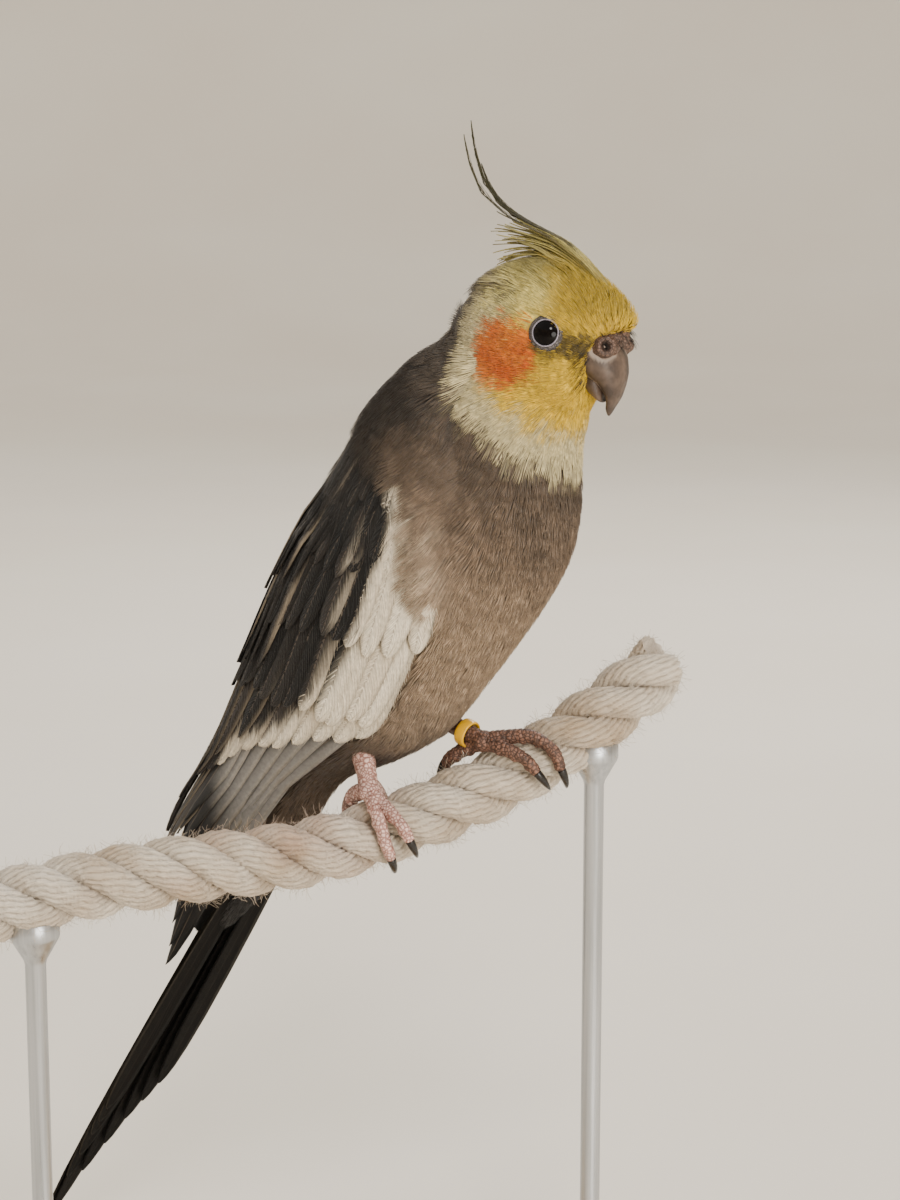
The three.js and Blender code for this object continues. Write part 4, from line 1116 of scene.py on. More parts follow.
# Rows of the wing, from the outermost feather to the innermost, with climb from each to the next
WING_ROWS = {
    "primaries": dict(
        count=7, root=[(7.4, 120), (8.8, 62)], tip=[(14.6, 92), (12.2, 52)], bend=1.4, half=4.0,
        rise=(1.3, 0.9), climb=0.3, lean=0.42, shape="pointed", curl=0.0, barbs=0),
    "secondaries": dict(
        count=11, root=[(5.9, 112), (6.8, 28)], tip=[(8.2, 122), (11.5, 34)], bend=1.15, half=4.2,
        rise=(2.2, 2.9), climb=0.08, lean=0.4, shape="round", curl=0.15, barbs=44),
    "tertials_low": dict(
        count=4, root=[(8.6, 54), (8.8, 22)], tip=[(12.6, 47), (13.6, 16)], bend=1.0, half=4.4,
        rise=(1.7, 2.2), climb=0.1, lean=0.4, shape="pointed", curl=0.1, barbs=0),
    "tertials": dict(
        count=5, root=[(6.6, 58), (6.6, 10)], tip=[(9.9, 66), (13.0, 10)], bend=0.9, half=4.4,
        rise=(3.4, 3.9), climb=0.1, lean=0.35, shape="pointed", curl=0.2, barbs=50),
    "greater_coverts": dict(
        count=14, root=[(5.2, 108), (5.7, 16)], tip=[(7.9, 122), (9.5, 20)], bend=1.0, half=4.0,
        rise=(2.9, 4.1), climb=0.05, lean=0.4, shape="round", curl=0.3, barbs=38),
    "median_coverts": dict(
        count=14, root=[(4.2, 98), (4.7, 18)], tip=[(6.7, 120), (7.9, 18)], bend=1.0, half=3.7,
        rise=(2.8, 4.8), climb=0.03, lean=0.35, shape="round", curl=0.35, barbs=34),
    "lesser_coverts_a": dict(
        count=15, root=[(3.8, 90), (4.0, 20)], tip=[(5.7, 107), (6.8, 18)], bend=1.0, half=3.1,
        rise=(2.4, 5.0), climb=0.02, lean=0.3, shape="round", curl=0.35, barbs=34),
    "lesser_coverts_b": dict(
        count=15, root=[(3.3, 80), (3.4, 22)], tip=[(4.7, 92), (5.8, 18)], bend=1.0, half=2.9,
        rise=(1.8, 5.1), climb=0.02, lean=0.3, shape="round", curl=0.35, barbs=24),
    "lesser_coverts_c": dict(
        count=13, root=[(2.9, 72), (2.9, 26)], tip=[(4.0, 82), (4.9, 20)], bend=1.0, half=2.7,
        rise=(1.0, 5.1), climb=0.02, lean=0.25, shape="round", curl=0.3, barbs=22),
    "scapulars_a": dict(
        count=6, root=[(4.7, 44), (4.9, 10)], tip=[(8.3, 58), (9.2, 14)], bend=1.0, half=2.9,
        rise=(4.6, 5.3), climb=0.06, lean=0.35, shape="pointed", curl=0.4, barbs=44),
    "scapulars_b": dict(
        count=7, root=[(3.9, 48), (3.9, 10)], tip=[(6.9, 54), (7.5, 12)], bend=1.0, half=2.7,
        rise=(4.6, 5.9), climb=0.05, lean=0.35, shape="pointed", curl=0.4, barbs=34),
    "scapulars_c": dict(
        count=7, root=[(3.2, 54), (3.1, 14)], tip=[(5.5, 50), (5.9, 12)], bend=1.0, half=2.6,
        rise=(4.0, 6.1), climb=0.05, lean=0.3, shape="round", curl=0.4, barbs=34),
}
WHITE_LINE = [
    [3.3, 88], [3.9, 84], [4.4, 77], [4.85, 82], [5.4, 89], [6.1, 90], [6.4, 95], [7.3, 96],
    [8.0, 94], [9.0, 88], [9.6, 80], [9.9, 62], [10.5, 57], [12, 60],
]


def wing_tone(row, s, a, v, u, feather, fine):
    """Colour on a wing feather, from its place on the wing, the place on the feather and chance."""
    line = looked_up(WHITE_LINE, s)
    white = smooth(-3, 3, a + 2.5 * feather + 3 * fine - line)
    tip = smooth(0.72, 1.0, u)
    grey = np.clip(0.16 + 0.3 * feather + 0.2 * fine + 0.22 * tip, 0, 1)
    dark = mixed(WING_DARK, WING_GREY, grey)
    shaded = np.clip(0.2 + 0.3 * feather + 0.25 * fine - 0.3 * tip, 0, 1)
    pale = mixed(WING_WHITE, WING_SHADE, shaded)
    if row == "primaries":
        # Each primary's covered inner side is painted dark as the shadow of the next feather, and its thin
        # pale outer edge is painted rim light
        strip = mixed(PRIMARY, WING_DARK * 0.8, smooth(0.5, -0.1, v) * 0.9)
        tip = smooth(0.55, 0.8, u)
        strip = mixed(strip, TAIL_DARK, tip)
        return mixed(strip, PALE_EDGE, smooth(0.9, 0.99, v) * (1 - tip) * 0.7)
    if row.startswith("tertials"):
        black = np.clip(0.45 + 0.5 * feather - 0.4 * v + 0.3 * fine, 0, 1)
        inner = mixed(WING_GREY * 0.75, WING_DARK, black)
        return mixed(inner, WING_SHADE, smooth(0.8, 0.95, v) * 0.35)
    if row.startswith("scapulars"):
        streak = smooth(0.2, 0.6, v) * smooth(0.5, 0.65, u) * smooth(0.95, 0.8, u)
        streak = streak * smooth(0.3, 0.6, feather)
        return mixed(mixed(dark, WING_GREY, np.full(s.shape, 0.3)), WING_SHADE, streak * 0.5)
    if row == "secondaries":
        dark = mixed(WING_GREY, WING_DARK, np.clip(0.3 + 0.5 * feather + 0.3 * fine, 0, 1))
        return mixed(dark, mixed(pale, WING_GREY, smooth(0.3, -0.6, v) * 0.4), white)
    fleck = smooth(-24, -8, a - line) * smooth(0.4, 0.7, feather) * smooth(0.2, 0.6, v + 0.3 * fine)
    fleck = fleck * smooth(0.5, 0.7, u) * smooth(1.0, 0.85, u)
    return mixed(dark, pale, np.maximum(white, fleck * 0.45))


def row_spec(t, rng):
    """The feathers of one row: their roots, tips, bow, half widths and heights."""
    n = t["count"]
    k = np.arange(n) / (n - 1)
    ends = []
    for key, power in (("root", 1.0), ("tip", t["bend"])):
        (s0, a0), (s1, a1) = t[key]
        ends.append(np.stack([s0 + (s1 - s0) * k, np.radians(a0 + (a1 - a0) * k ** power)], 1))
    root, tip = ends
    tip = tip + rng.normal(0, 1, (n, 2)) * np.array([0.09, 0.025])
    rise = np.array(t["rise"])[None, :] + t["climb"] * np.arange(n)[:, None] + rng.normal(0, 0.06, (n, 1))
    return dict(root=root, tip=tip, bow=rng.normal(0, 0.02, n), half=t["half"] * rng.uniform(0.9, 1.08, n),
                shape=VANE_SHAPES[t["shape"]], rise=rise, lean=t["lean"], arch=0.25, curl=t["curl"])


def make_wing(side, label):
    """A folded wing: all its vanes as one piece, and the barbs on the soft ones as another."""
    rng = np.random.default_rng(7)
    solid, fringe = [], []
    for row, t in WING_ROWS.items():
        n, soft = t["count"], t["barbs"] > 0
        spec = row_spec(t, rng)
        place, normal, s, a, length = laid_vanes(side, spec)
        feather = 0.95 * np.sin(2.4 * np.arange(n) + t["half"] * 9)[:, None, None]
        fine = rng.normal(0, 0.15, (n, len(VANE_STEPS), len(VANE_COLUMNS)))
        v = np.broadcast_to(VANE_COLUMNS[None, None, :] * side, s.shape)
        u = np.broadcast_to(VANE_STEPS[None, :, None], s.shape)
        shade = wing_tone(row, s, np.degrees(a), v, u, feather + 0 * s, fine * soft)
        homes = np.stack([0.25 - side * 0.2 + spec["root"][:, 1] / 12, 0.05 + spec["root"][:, 0] * 0.03], 1)
        core = (place - place[:, :, 3:4]) * 0.86 + place[:, :, 3:4] - normal * 0.1 if soft else place
        # Vanes that carry barbs are painted darker: painted shade beneath their barbs
        solid.append((slabs(core, normal, 0.13), shade * (0.88 if soft else 1.0), length,
                      spec["half"][:, None] * spec["shape"], homes))
        if not soft:
            continue
        rings, f, u, c = barbs(place, normal, t["barbs"], 9.0 / length.mean(), 0.34, rng)
        fine = np.clip(rng.normal(0, 0.5, u.shape[:2] + (1,)), -1, 1) + 0 * u
        shade = wing_tone(row, read_grid(s, f, u, c), np.degrees(read_grid(a, f, u, c)), c * side, u,
                          np.broadcast_to(feather, u.shape), fine)
        shade = shade * rng.normal(1, 0.05, u.shape[:2] + (1, 1))
        fringe.append(barb_lot(rings, shade, homes, u, c))
    rings, shades, lengths, halves, homes = (np.concatenate(x) for x in zip(*solid))
    vanes = vane_piece(f"wing_feathers_{label}", vane_finish, rings, lengths, halves, shades, homes, 8)
    finished(vanes, "wing_plumage", f"wing_{label}")
    barb_piece(f"wing_barbs_{label}", fringe, "wing_plumage")


make_wing(-1, "right")
make_wing(1, "left")


# Tail: its ends, each pair's reach and half width from the middle outward, and the pairs' spacing
TAIL_ROOT = np.array([-48.5, 0, -57.5])
TAIL_TIP = np.array([-131.3, 0, -192.6])
TAIL_REACH = [158, 142, 131, 121, 114, 107]
TAIL_HALF_WIDTH = [5.8, 6.4, 6.8, 7, 7, 6.8]
TAIL_FAN = 2.15
TAIL_LAYER = 0.98
TAIL_ARCH = 0.4
TAIL_SHAPE = np.array([0.5, 0.66, 0.84, 0.95, 1.0, 0.96, 0.8, 0.58, 0.34, 0.08])


def make_tail():
    """The tail's six pairs of feathers, the middle pair on top."""
    run = unit(TAIL_TIP - TAIL_ROOT)
    top = np.array([run[2], 0, -run[0]])
    top = top if top[0] < 0 else -top
    u = VANE_STEPS
    lines, halves, shades, lengths = [], [], [], []
    rng = np.random.default_rng(5)
    for pair, reach in enumerate(TAIL_REACH):
        for side in (-1, 1):
            layer = (2 - pair) * TAIL_LAYER - (TAIL_LAYER / 2 if side > 0 else 0)
            line = TAIL_ROOT + run * (reach * (0.05 + 0.95 * u))[:, None] + top * layer
            line[:, 1] = side * (0.9 + pair * TAIL_FAN * (0.55 + 0.45 * u)) + rng.normal(0, 0.15)
            lines.append(line)
            halves.append(TAIL_HALF_WIDTH[pair] * TAIL_SHAPE)
            lengths.append(reach)
            c = VANE_COLUMNS[None, :] * side
            base = TAIL_DARK * rng.uniform(0.8, 1.2) if pair else mixed(TAIL_DARK, TAIL_GREY, 0.5)
            rim = smooth(0.88, 1.0, c) * (0.12 if pair else 0.05) + 0 * u[:, None]
            shades.append(mixed(np.broadcast_to(base, rim.shape + (3,)), PALE_EDGE, rim))
    lines, halves = np.array(lines)[:, :, None], np.array(halves)
    n = len(lines)
    c, wide = VANE_COLUMNS[:, None], halves[..., None, None]
    place = lines + np.array([0.0, 1.0, 0.0]) * c * wide
    place = place + top * TAIL_ARCH * (1 - c ** 2) * wide * 0.12
    homes = np.stack([0.05 + 0.07 * np.arange(n), np.full(n, 0.66)], 1)
    tail = vane_piece("tail_feathers", tail_finish, slabs(place, np.broadcast_to(top, place.shape), 0.1),
                      np.array(lengths, float), halves, np.array(shades), homes, 9)
    finished(tail, "tail_plumage", "tail")


make_tail()


# Crest: slope of long and low feathers by millimetres out, and reach from forehead to crown
LONG_SLOPE = [
    [0, 43], [9, 46], [12.5, 42], [16, 31], [20, 23], [26, 21], [31, 27], [37, 38], [41, 50], [45, 62],
    [50, 72], [62, 84],
]
LOW_SLOPE = [[0, 40], [6, 29], [12, 17], [18, 5], [26, -5]]
CREST_REACH = [
    [0, 65], [0.05, 61], [0.1, 50], [0.16, 44], [0.25, 40], [0.4, 34], [0.55, 30], [0.7, 27],
    [0.85, 25], [1, 20],
]
CREST_SHAPE = np.array([0.5, 0.75, 1.0, 1.0, 0.9, 0.75, 0.6, 0.42, 0.26, 0.08])
CREST_STATIONS = (7.35, 4.1)
QUILL_MARKS = [0.0, 0.05, 0.07, 0.09, 0.13, 0.18, 0.24, 0.33, 0.46, 0.62, 0.8, 0.97]
QUILL_REACH = 65
DOWN_REACH = 33


def crest_line(t, lean, reach, drop):
    """The line of a crest feather from its root, t from the forehead to the crown."""
    station = CREST_STATIONS[0] + (CREST_STATIONS[1] - CREST_STATIONS[0]) * t
    angle = np.array(abs(lean) * (0.16 + 0.2 * t))
    place = skull.point(np.array(station), angle, np.sign(lean) or 1.0)
    share = float(smooth(0.12, 0.8, t))
    fall = drop * float(smooth(0.2, 0.6, t))
    line = []
    for k, u in enumerate(VANE_STEPS):
        line.append(place.copy())
        far = reach * u
        slope = looked_up(LONG_SLOPE, far) * (1 - share) + looked_up(LOW_SLOPE, far) * share
        angle = math.radians(slope - fall * smooth(0, 7, far))
        step = reach * (VANE_STEPS[min(k + 1, len(VANE_STEPS) - 1)] - u)
        gather = -0.9 * place[1] / max(reach, 20)
        place = place + np.array([-math.cos(angle), gather + lean * 0.05, math.sin(angle)]) * step
    return np.array(line)


def crest_shade(feathers, u, c, fine):
    """Colour of crest feathers: yellow at the front, olive behind, and dark at the long tips."""
    t, quill, vary = (np.array(x, float)[:, None, None] for x in zip(*feathers))
    front = mixed(YELLOW, OLIVE, np.clip(0.75 - 0.4 * t + 2.5 * vary, 0, 1) + 0 * u)
    pale = mixed(PALE_YELLOW, OLIVE, np.clip(0.5 + 4 * vary, 0, 1) + 0 * u)
    tip = mixed(pale, CREST_TIP, quill * smooth(0.6, 0.1, t) + 0 * u)
    body = mixed(front, tip, smooth(0.1, 0.62, u))
    edge = quill * (0.25 + 0.35 * smooth(0.3, 0.9, np.abs(c))) + 0 * u
    return mixed(body, CREST_TIP, edge) * np.clip(1 + 1.5 * vary + fine, 0.4, 1.5)[..., None]


def make_crest():
    """Twelve long quills and the shorter feathers round them, each a thin vane with barbs."""
    rng = np.random.default_rng(17)
    marks = np.concatenate([QUILL_MARKS, rng.uniform(0.02, 1, 130)])
    lines, half, feathers = [], [], []
    for n, t in enumerate(marks):
        quill = n < len(QUILL_MARKS)
        lean = (0.3, -1.3)[n] if n < 2 else rng.uniform(-1, 1) * (0.5 if quill else 1.0)
        reach = looked_up(CREST_REACH, t) * (1.0 if quill else rng.uniform(0.5, 1.0))
        reach = min(reach, QUILL_REACH if quill else DOWN_REACH)
        lines.append(crest_line(t, lean, reach, 0 if quill else rng.uniform(0, 34)))
        half.append((1.15 if quill else 0.8) * rng.uniform(0.85, 1.1))
        feathers.append((t, quill, rng.normal(0, 0.1)))
    middle, n = np.array(lines), len(lines)
    way = unit(np.gradient(middle, axis=1))
    side = unit(np.stack([rng.normal(0, 0.15, n), np.ones(n), rng.normal(0, 0.2, n)], 1))[:, None]
    across = unit(side - way * np.sum(side * way, -1, keepdims=True))
    normal = unit(np.cross(way, across))
    normal = normal * np.where(normal[..., 2:] < 0, -1, 1)
    halves = np.array(half)[:, None] * CREST_SHAPE
    c = VANE_COLUMNS[None, None, :, None]
    place = middle[:, :, None] + across[:, :, None] * c * halves[..., None, None]
    normals = np.broadcast_to(normal[:, :, None], place.shape)
    core = place - (place - middle[:, :, None]) * 0.78
    u = np.broadcast_to(VANE_STEPS[None, :, None], place.shape[:3])
    c = np.broadcast_to(VANE_COLUMNS[None, None, :], place.shape[:3])
    reach = np.linalg.norm(np.diff(middle, axis=1), axis=-1).sum(1)
    homes = body_map.read(middle[:, 0])[:, 2:4]
    # The quills' vanes lie under the barbs and are painted darker: painted shade beneath the barbs
    shade = crest_shade(feathers, u, c, 0 * u) * 0.6
    quills = vane_piece("crest_quills", vane_finish, slabs(core, normals, 0.09), reach, halves, shade,
                        homes, 18)
    finished(quills, "head_plumage")
    rings, _, u, c = barbs(place, normals, 34, 0.2, 0.24, rng)
    fine = np.broadcast_to(rng.normal(0, 0.14, u.shape[:2] + (1,)), u.shape)
    lot = barb_lot(rings, crest_shade(feathers, u, c, fine), homes, u, c)
    barb_piece("crest_barbs", [lot], "head_plumage")


make_crest()


# Bill, cere, eyes and lids
def bill_part(name, form, tip, rows=46, columns=56):
    """One half of the bill, closed to its tip, with faint rings of growth."""
    rings = form.rings(rows, columns)
    point = np.array([tip[0], 0, tip[1]])
    middle = rings[-1].mean(0)
    near = [point * s + middle * (1 - s) + (rings[-1] - middle) * (1 - s) ** 0.6
            for s in (0.3, 0.6, 0.85, 0.98)]
    rings = np.concatenate([rings, np.array(near)])
    s = np.linspace(0, 1, len(rings))[:, None]
    a = turns(columns)[None, :]
    centre = rings.mean(1, keepdims=True)
    growth = 1 + 0.006 * np.sin(s * 60 + 0.8 * np.cos(a)) * smooth(0.1, 0.5, s)
    rings = centre + (rings - centre) * growth[..., None]
    return new_object(name, lofts(rings), bill_finish)


upper_bill = bill_part("bill_upper_horn", bill_form, UPPER_TIP)
lower_bill = bill_part("bill_lower_horn", Form(LOWER_BILL), LOWER_TIP)


def mark_bill_edges():
    """Marks the worn pale edge of the upper horn: along the cere and where it meets the lower one."""
    points = mesh_points(upper_bill)
    gap = gaps_to(place_tree(mesh_points(lower_bill)), points)
    worn = smooth(0.75, 0.3, gap) * smooth(50.5, 52, points[:, 2])
    away = np.linalg.norm(one_side(points) - CERE_MIDDLE, axis=1) - CERE_RADIUS
    note(upper_bill, "edge", np.maximum(worn, smooth(0.95, 0.45, away)))


mark_bill_edges()
finished(upper_bill, "bill_horn", "bill_upper")
finished(lower_bill, "bill_horn", "bill_lower")


# Swellings of the cere: middle, radii and the seed of its bumps
CERE_SWELLINGS = [
    (CERE_MIDDLE * (1, -1, 1), (CERE_RADIUS,) * 3, 61), (CERE_MIDDLE, (CERE_RADIUS,) * 3, 61),
    ((44.8, 0, 67.6), (3.6, 4.4, 2.7), 62),
    ((44.2, -3.2, 65.6), (3.5, 3.0, 2.6), 62), ((44.2, 3.2, 65.6), (3.5, 3.0, 2.6), 62),
]


def make_cere():
    """The fleshy cere over the bill's root, with a raised rim round each sunk nostril and painted shadow in
    its hollow.
    """
    parts, nostril_shadows = [], []
    for centre, radii, seed in CERE_SWELLINGS:
        rings = ball(centre, radii, rows=60, columns=72)
        away = np.linalg.norm(one_side(rings) - NOSTRIL, axis=-1)
        swell = 0.4 * np.exp(-((away - 1.9) / 0.6) ** 2) - 2.4 * smooth(1.45, 0.8, away)
        swell = swell + 0.22 * ripple(rings.reshape(-1, 3), 1.7, seed).reshape(away.shape)
        parts.append(lofts(rings + unit(rings - np.array(centre)) * swell[..., None]))
        nostril_shadows.append(smooth(1.5, 1.0, away).ravel())
    cere = new_object("cere", gathered(parts), cere_finish)
    note(cere, "nostril_shadow", np.concatenate(nostril_shadows))
    finished(cere, "bill_horn")


make_cere()

for side, label in ((-1, "right"), (1, "left")):
    surface, normal = EYES[side]
    globe = ball(surface - normal * EYE_SINK, (EYE_RADIUS,) * 3, rows=48, columns=64)
    finished(new_object(f"eyeball_{label}", lofts(globe), wet_eye), "eye_dark", f"eye_{label}")


def ring_round_eye(side, section, wobble, seed, columns=140):
    """A closed ring of skin round the eye; section gives distances from its middle and heights."""
    surface, normal = EYES[side]
    axis = unit(np.cross(normal, np.array([0.0, 0.0, 1.0])))
    high = np.cross(axis, normal)
    turn = turns(columns)[:, None]
    section = np.array(section)
    reach, lift = section[None, :, 0], section[None, :, 1]
    flat = surface + axis * (reach * np.cos(turn))[..., None] + high * (reach * np.sin(turn))[..., None]
    places, out = settle(flat.reshape(-1, 3), skin_tree)
    uneven = ripple(flat.reshape(-1, 3), 0.9, seed).reshape(columns, -1)
    height = lift + wobble * uneven * (lift > 0.1)
    quads = closed_band(columns, len(section))
    return places + out * height.reshape(-1, 1), quads[:, ::-1] if side < 0 else quads, NO_TRIS


# Section of the bare field round the eye, from the rim out to the feathers and back beneath them
LID_FIELD = [
    [3.2, 0.2], [3.25, 0.7], [3.6, 0.66], [3.9, 0.5], [4.15, 0.42], [4.4, 0.25], [4.6, 0.0],
    [4.6, -0.2], [4.0, -0.3], [3.3, -0.2],
]


def make_lids(side, label):
    """The bare skin round the eye: a thin pale rim, and a mottled field that meets the feathers."""
    turn = turns(12)
    rim = np.stack([3.14 + 0.2 * np.cos(turn), 0.66 + 0.46 * np.sin(turn)], 1)
    for name, section, wobble, seed, finish in (
            ("lid_rim", rim, 0.03, 63, rim_finish), ("lid_field", LID_FIELD, 0.1, 64, lid_finish)):
        shape = ring_round_eye(side, section, wobble, seed)
        finished(new_object(f"{name}_{label}", shape, finish), "head_plumage")


make_lids(-1, "right")
make_lids(1, "left")


# Dark bristles: number, way on the left, length, thickness, and the line they root along if any
BRISTLES = [
    (46, (-0.74, 0.5, -0.42), 5.6, 0.06, None),
    (30, (-0.9, 0.4, -0.2), 3.4, 0.05, None),
    (24, (0.75, 0.1, -0.5), 3.2, 0.06, ((42.5, 6.4, 69.4), (46.8, 0.3, 71.2))),
    (16, (0.55, 0.2, -0.75), 2.0, 0.055, ((46.4, 4.6, 67.2), (48.0, 0.5, 68.4))),
]


def bristle_sites(side):
    """For each lot of bristles, the places on this side where they can root."""
    x, y, z = skin_points.T
    near = skin_points[(x > 33) & (np.abs(y) > 4) & (z > 56)]
    near = near[near[:, 1] * side > 0]
    gap, high = gaps_to(bill_tree, near), near[:, 2]
    corner = (gap > 0.4) & (gap < 2.2) & (high < 64.5)
    lore = (gap > 0.4) & (gap < 3.5) & (high > 63.5) & (high < 69)
    lines = [np.linspace(*ends, 30) * (1, side, 1) for *_, ends in BRISTLES[2:]]
    return [near[corner], near[lore]] + lines


def make_bristles():
    rng = np.random.default_rng(71)
    lots = []
    for side in (-1, 1):
        for sites, (n, way, long, thick, _) in zip(bristle_sites(side), BRISTLES):
            root = sites[rng.integers(0, len(sites), n)] + rng.normal(0, 0.2, (n, 3))
            way = (np.array(way) + rng.normal(0, 0.16, (n, 3))) * np.array([1, side, 1])
            lots.append((root, way, long * rng.uniform(0.6, 1.15, n), np.full(n, thick)))
    roots, ways, lengths, radii = (np.concatenate(x) for x in zip(*lots))
    ways = unit(ways)
    out = settle(roots, skin_tree)[1][:, None]
    steps = np.linspace(0, 1, 6)
    u = steps[None, :, None]
    line = (roots[:, None] + ways[:, None] * lengths[:, None, None] * u
            + out * (0.3 + 1.3 * np.sin(math.pi * 0.6 * u)) - np.array([0, 0, 0.5]) * u ** 2)
    way = unit(np.gradient(line, axis=1))
    side = unit(np.cross(way, out))
    up = np.cross(side, way)
    r = radii[:, None, None] * (1 - 0.9 * u ** 1.5)
    corners = (0, 2.094, 4.189)
    rings = np.stack([line + (side * math.cos(a) + up * math.sin(a)) * r for a in corners], 2)
    obj = new_object("face_bristles", lofts(rings), coat_finish)
    shade = BRISTLE * rng.uniform(0.6, 1.5, (len(roots), 1))
    paint(obj, "plumage", np.repeat(shade, len(steps) * len(corners), 0))
    map_rings(obj, body_map.read(roots)[:, 2:4], np.array([0, 0.5, 1]), steps)
    finished(obj, "head_plumage")


make_bristles()


# Rope: heading and start on plan, radius, lead, heights along its line, and its three strands
ROPE_HEADING = math.radians(45)
ROPE_START = -2.9
ROPE_RADIUS = 8.75
ROPE_LEAD = 38.0
ROPE_LINE = [
    [-117, -71.8], [-96, -68.2], [-70, -65.4], [-36, -63.3], [-18, -59.8],
    [0, -54.2], [16, -47.9], [32, -39.3], [48, -28.6], [60, -19.6],
]
ROPE_STEPS = 400
STRAND_RADIUS = 4.06
STRAND_LAY = 4.69
ROPE_ACROSS = np.array([math.sin(ROPE_HEADING), -math.cos(ROPE_HEADING), 0])


def centripetal(points, count):
    """A smooth curve through points, at equal steps."""
    p = np.array(points, float)
    p = np.concatenate([[2 * p[0] - p[1]], p, [2 * p[-1] - p[-2]]])
    out = []
    for i in range(1, len(p) - 2):
        knots = [0.0]
        for k in range(3):
            knots.append(knots[-1] + np.linalg.norm(p[i + k] - p[i + k - 1]) ** 0.5)
        t = np.linspace(knots[1], knots[2], 60, endpoint=i == len(p) - 3)[:, None]
        k0, k1, k2, k3 = knots
        a1 = (k1 - t) / (k1 - k0) * p[i - 1] + (t - k0) / (k1 - k0) * p[i]
        a2 = (k2 - t) / (k2 - k1) * p[i] + (t - k1) / (k2 - k1) * p[i + 1]
        a3 = (k3 - t) / (k3 - k2) * p[i + 1] + (t - k2) / (k3 - k2) * p[i + 2]
        b1 = (k2 - t) / (k2 - k0) * a1 + (t - k0) / (k2 - k0) * a2
        b2 = (k3 - t) / (k3 - k1) * a2 + (t - k1) / (k3 - k1) * a3
        out.append((k2 - t) / (k2 - k1) * b1 + (t - k1) / (k2 - k1) * b2)
    line = np.concatenate(out)
    gone = np.concatenate([[0], np.cumsum(np.linalg.norm(np.diff(line, axis=0), axis=1))])
    at = np.linspace(0, gone[-1], count)
    return np.stack([np.interp(at, gone, line[:, k]) for k in range(3)], 1), gone[-1]


def along_rope(x, y):
    return (x - ROPE_START) * math.cos(ROPE_HEADING) + y * math.sin(ROPE_HEADING)


rope_line, rope_length = centripetal(
    [[ROPE_START + s * math.cos(ROPE_HEADING), s * math.sin(ROPE_HEADING), z] for s, z in ROPE_LINE],
    ROPE_STEPS)
rope_way = unit(np.gradient(rope_line, axis=0))
rope_up = unit(np.cross(np.broadcast_to(ROPE_ACROSS, rope_way.shape), rope_way))
rope_along = along_rope(rope_line[:, 0], rope_line[:, 1])


def rope_site(s):
    """The rope's middle and upward way at s along it."""
    middle = np.array([np.interp(s, rope_along, rope_line[:, k]) for k in range(3)])
    up = unit(np.array([np.interp(s, rope_along, rope_up[:, k]) for k in range(3)]))
    return middle, up


def on_rope(s, angle, radius):
    """A place round the rope, from the top toward its far side."""
    middle, up = rope_site(s)
    return middle + up * radius * math.cos(angle) + ROPE_ACROSS * radius * math.sin(angle)


class Tree(Nodes):
    """A geometry node tree with named inputs for its sizes."""

    def __init__(self, name, sizes):
        self.tree = bpy.data.node_groups.new(name, "GeometryNodeTree")
        face = self.tree.interface
        face.new_socket("Geometry", in_out="INPUT", socket_type="NodeSocketGeometry")
        for label, (kind, value) in sizes.items():
            socket = face.new_socket(label, in_out="INPUT", socket_type=kind)
            if value is not None:
                socket.default_value = value
        face.new_socket("Geometry", in_out="OUTPUT", socket_type="NodeSocketGeometry")
        self.given = self.tree.nodes.new("NodeGroupInput").outputs
        self.end = self.tree.nodes.new("NodeGroupOutput").inputs

    def first(self, kind, settings=None, **inputs):
        """The first output of a geometry node."""
        return self.node("GeometryNode" + kind, settings, **inputs).outputs[0]

    def store(self, geometry, name, value, kind="FLOAT"):
        settings = {"data_type": kind, "domain": "POINT"}
        return self.first("StoreNamedAttribute", settings, Geometry=geometry, Name=name, Value=value)

    def stored(self, name):
        return self.first("InputNamedAttribute", {"data_type": "FLOAT"}, Name=name)

    def noise(self, scale, detail):
        """Noise over the places, from about -0.5 to 0.5."""
        noise = self.node("TexNoise", Scale=scale, Detail=detail).outputs["Fac"]
        return self.sum("SUBTRACT", noise, 0.5)

    def close(self, geometry):
        real = self.first("RealizeInstances", i0=geometry)
        dressed = self.first("SetMaterial", i0=real, Material=self.given["Finish"])
        self.tree.links.new(dressed, self.end[0])

    def run_on(self, obj, **values):
        modifier = obj.modifiers.new(self.tree.name, "NODES")
        modifier.node_group = self.tree
        names = {s.name: s.identifier for s in self.tree.interface.items_tree
                 if s.item_type == "SOCKET" and s.in_out == "INPUT"}
        for label, value in values.items():
            modifier[names[label.replace("_", " ")]] = value
        make_plain(obj)


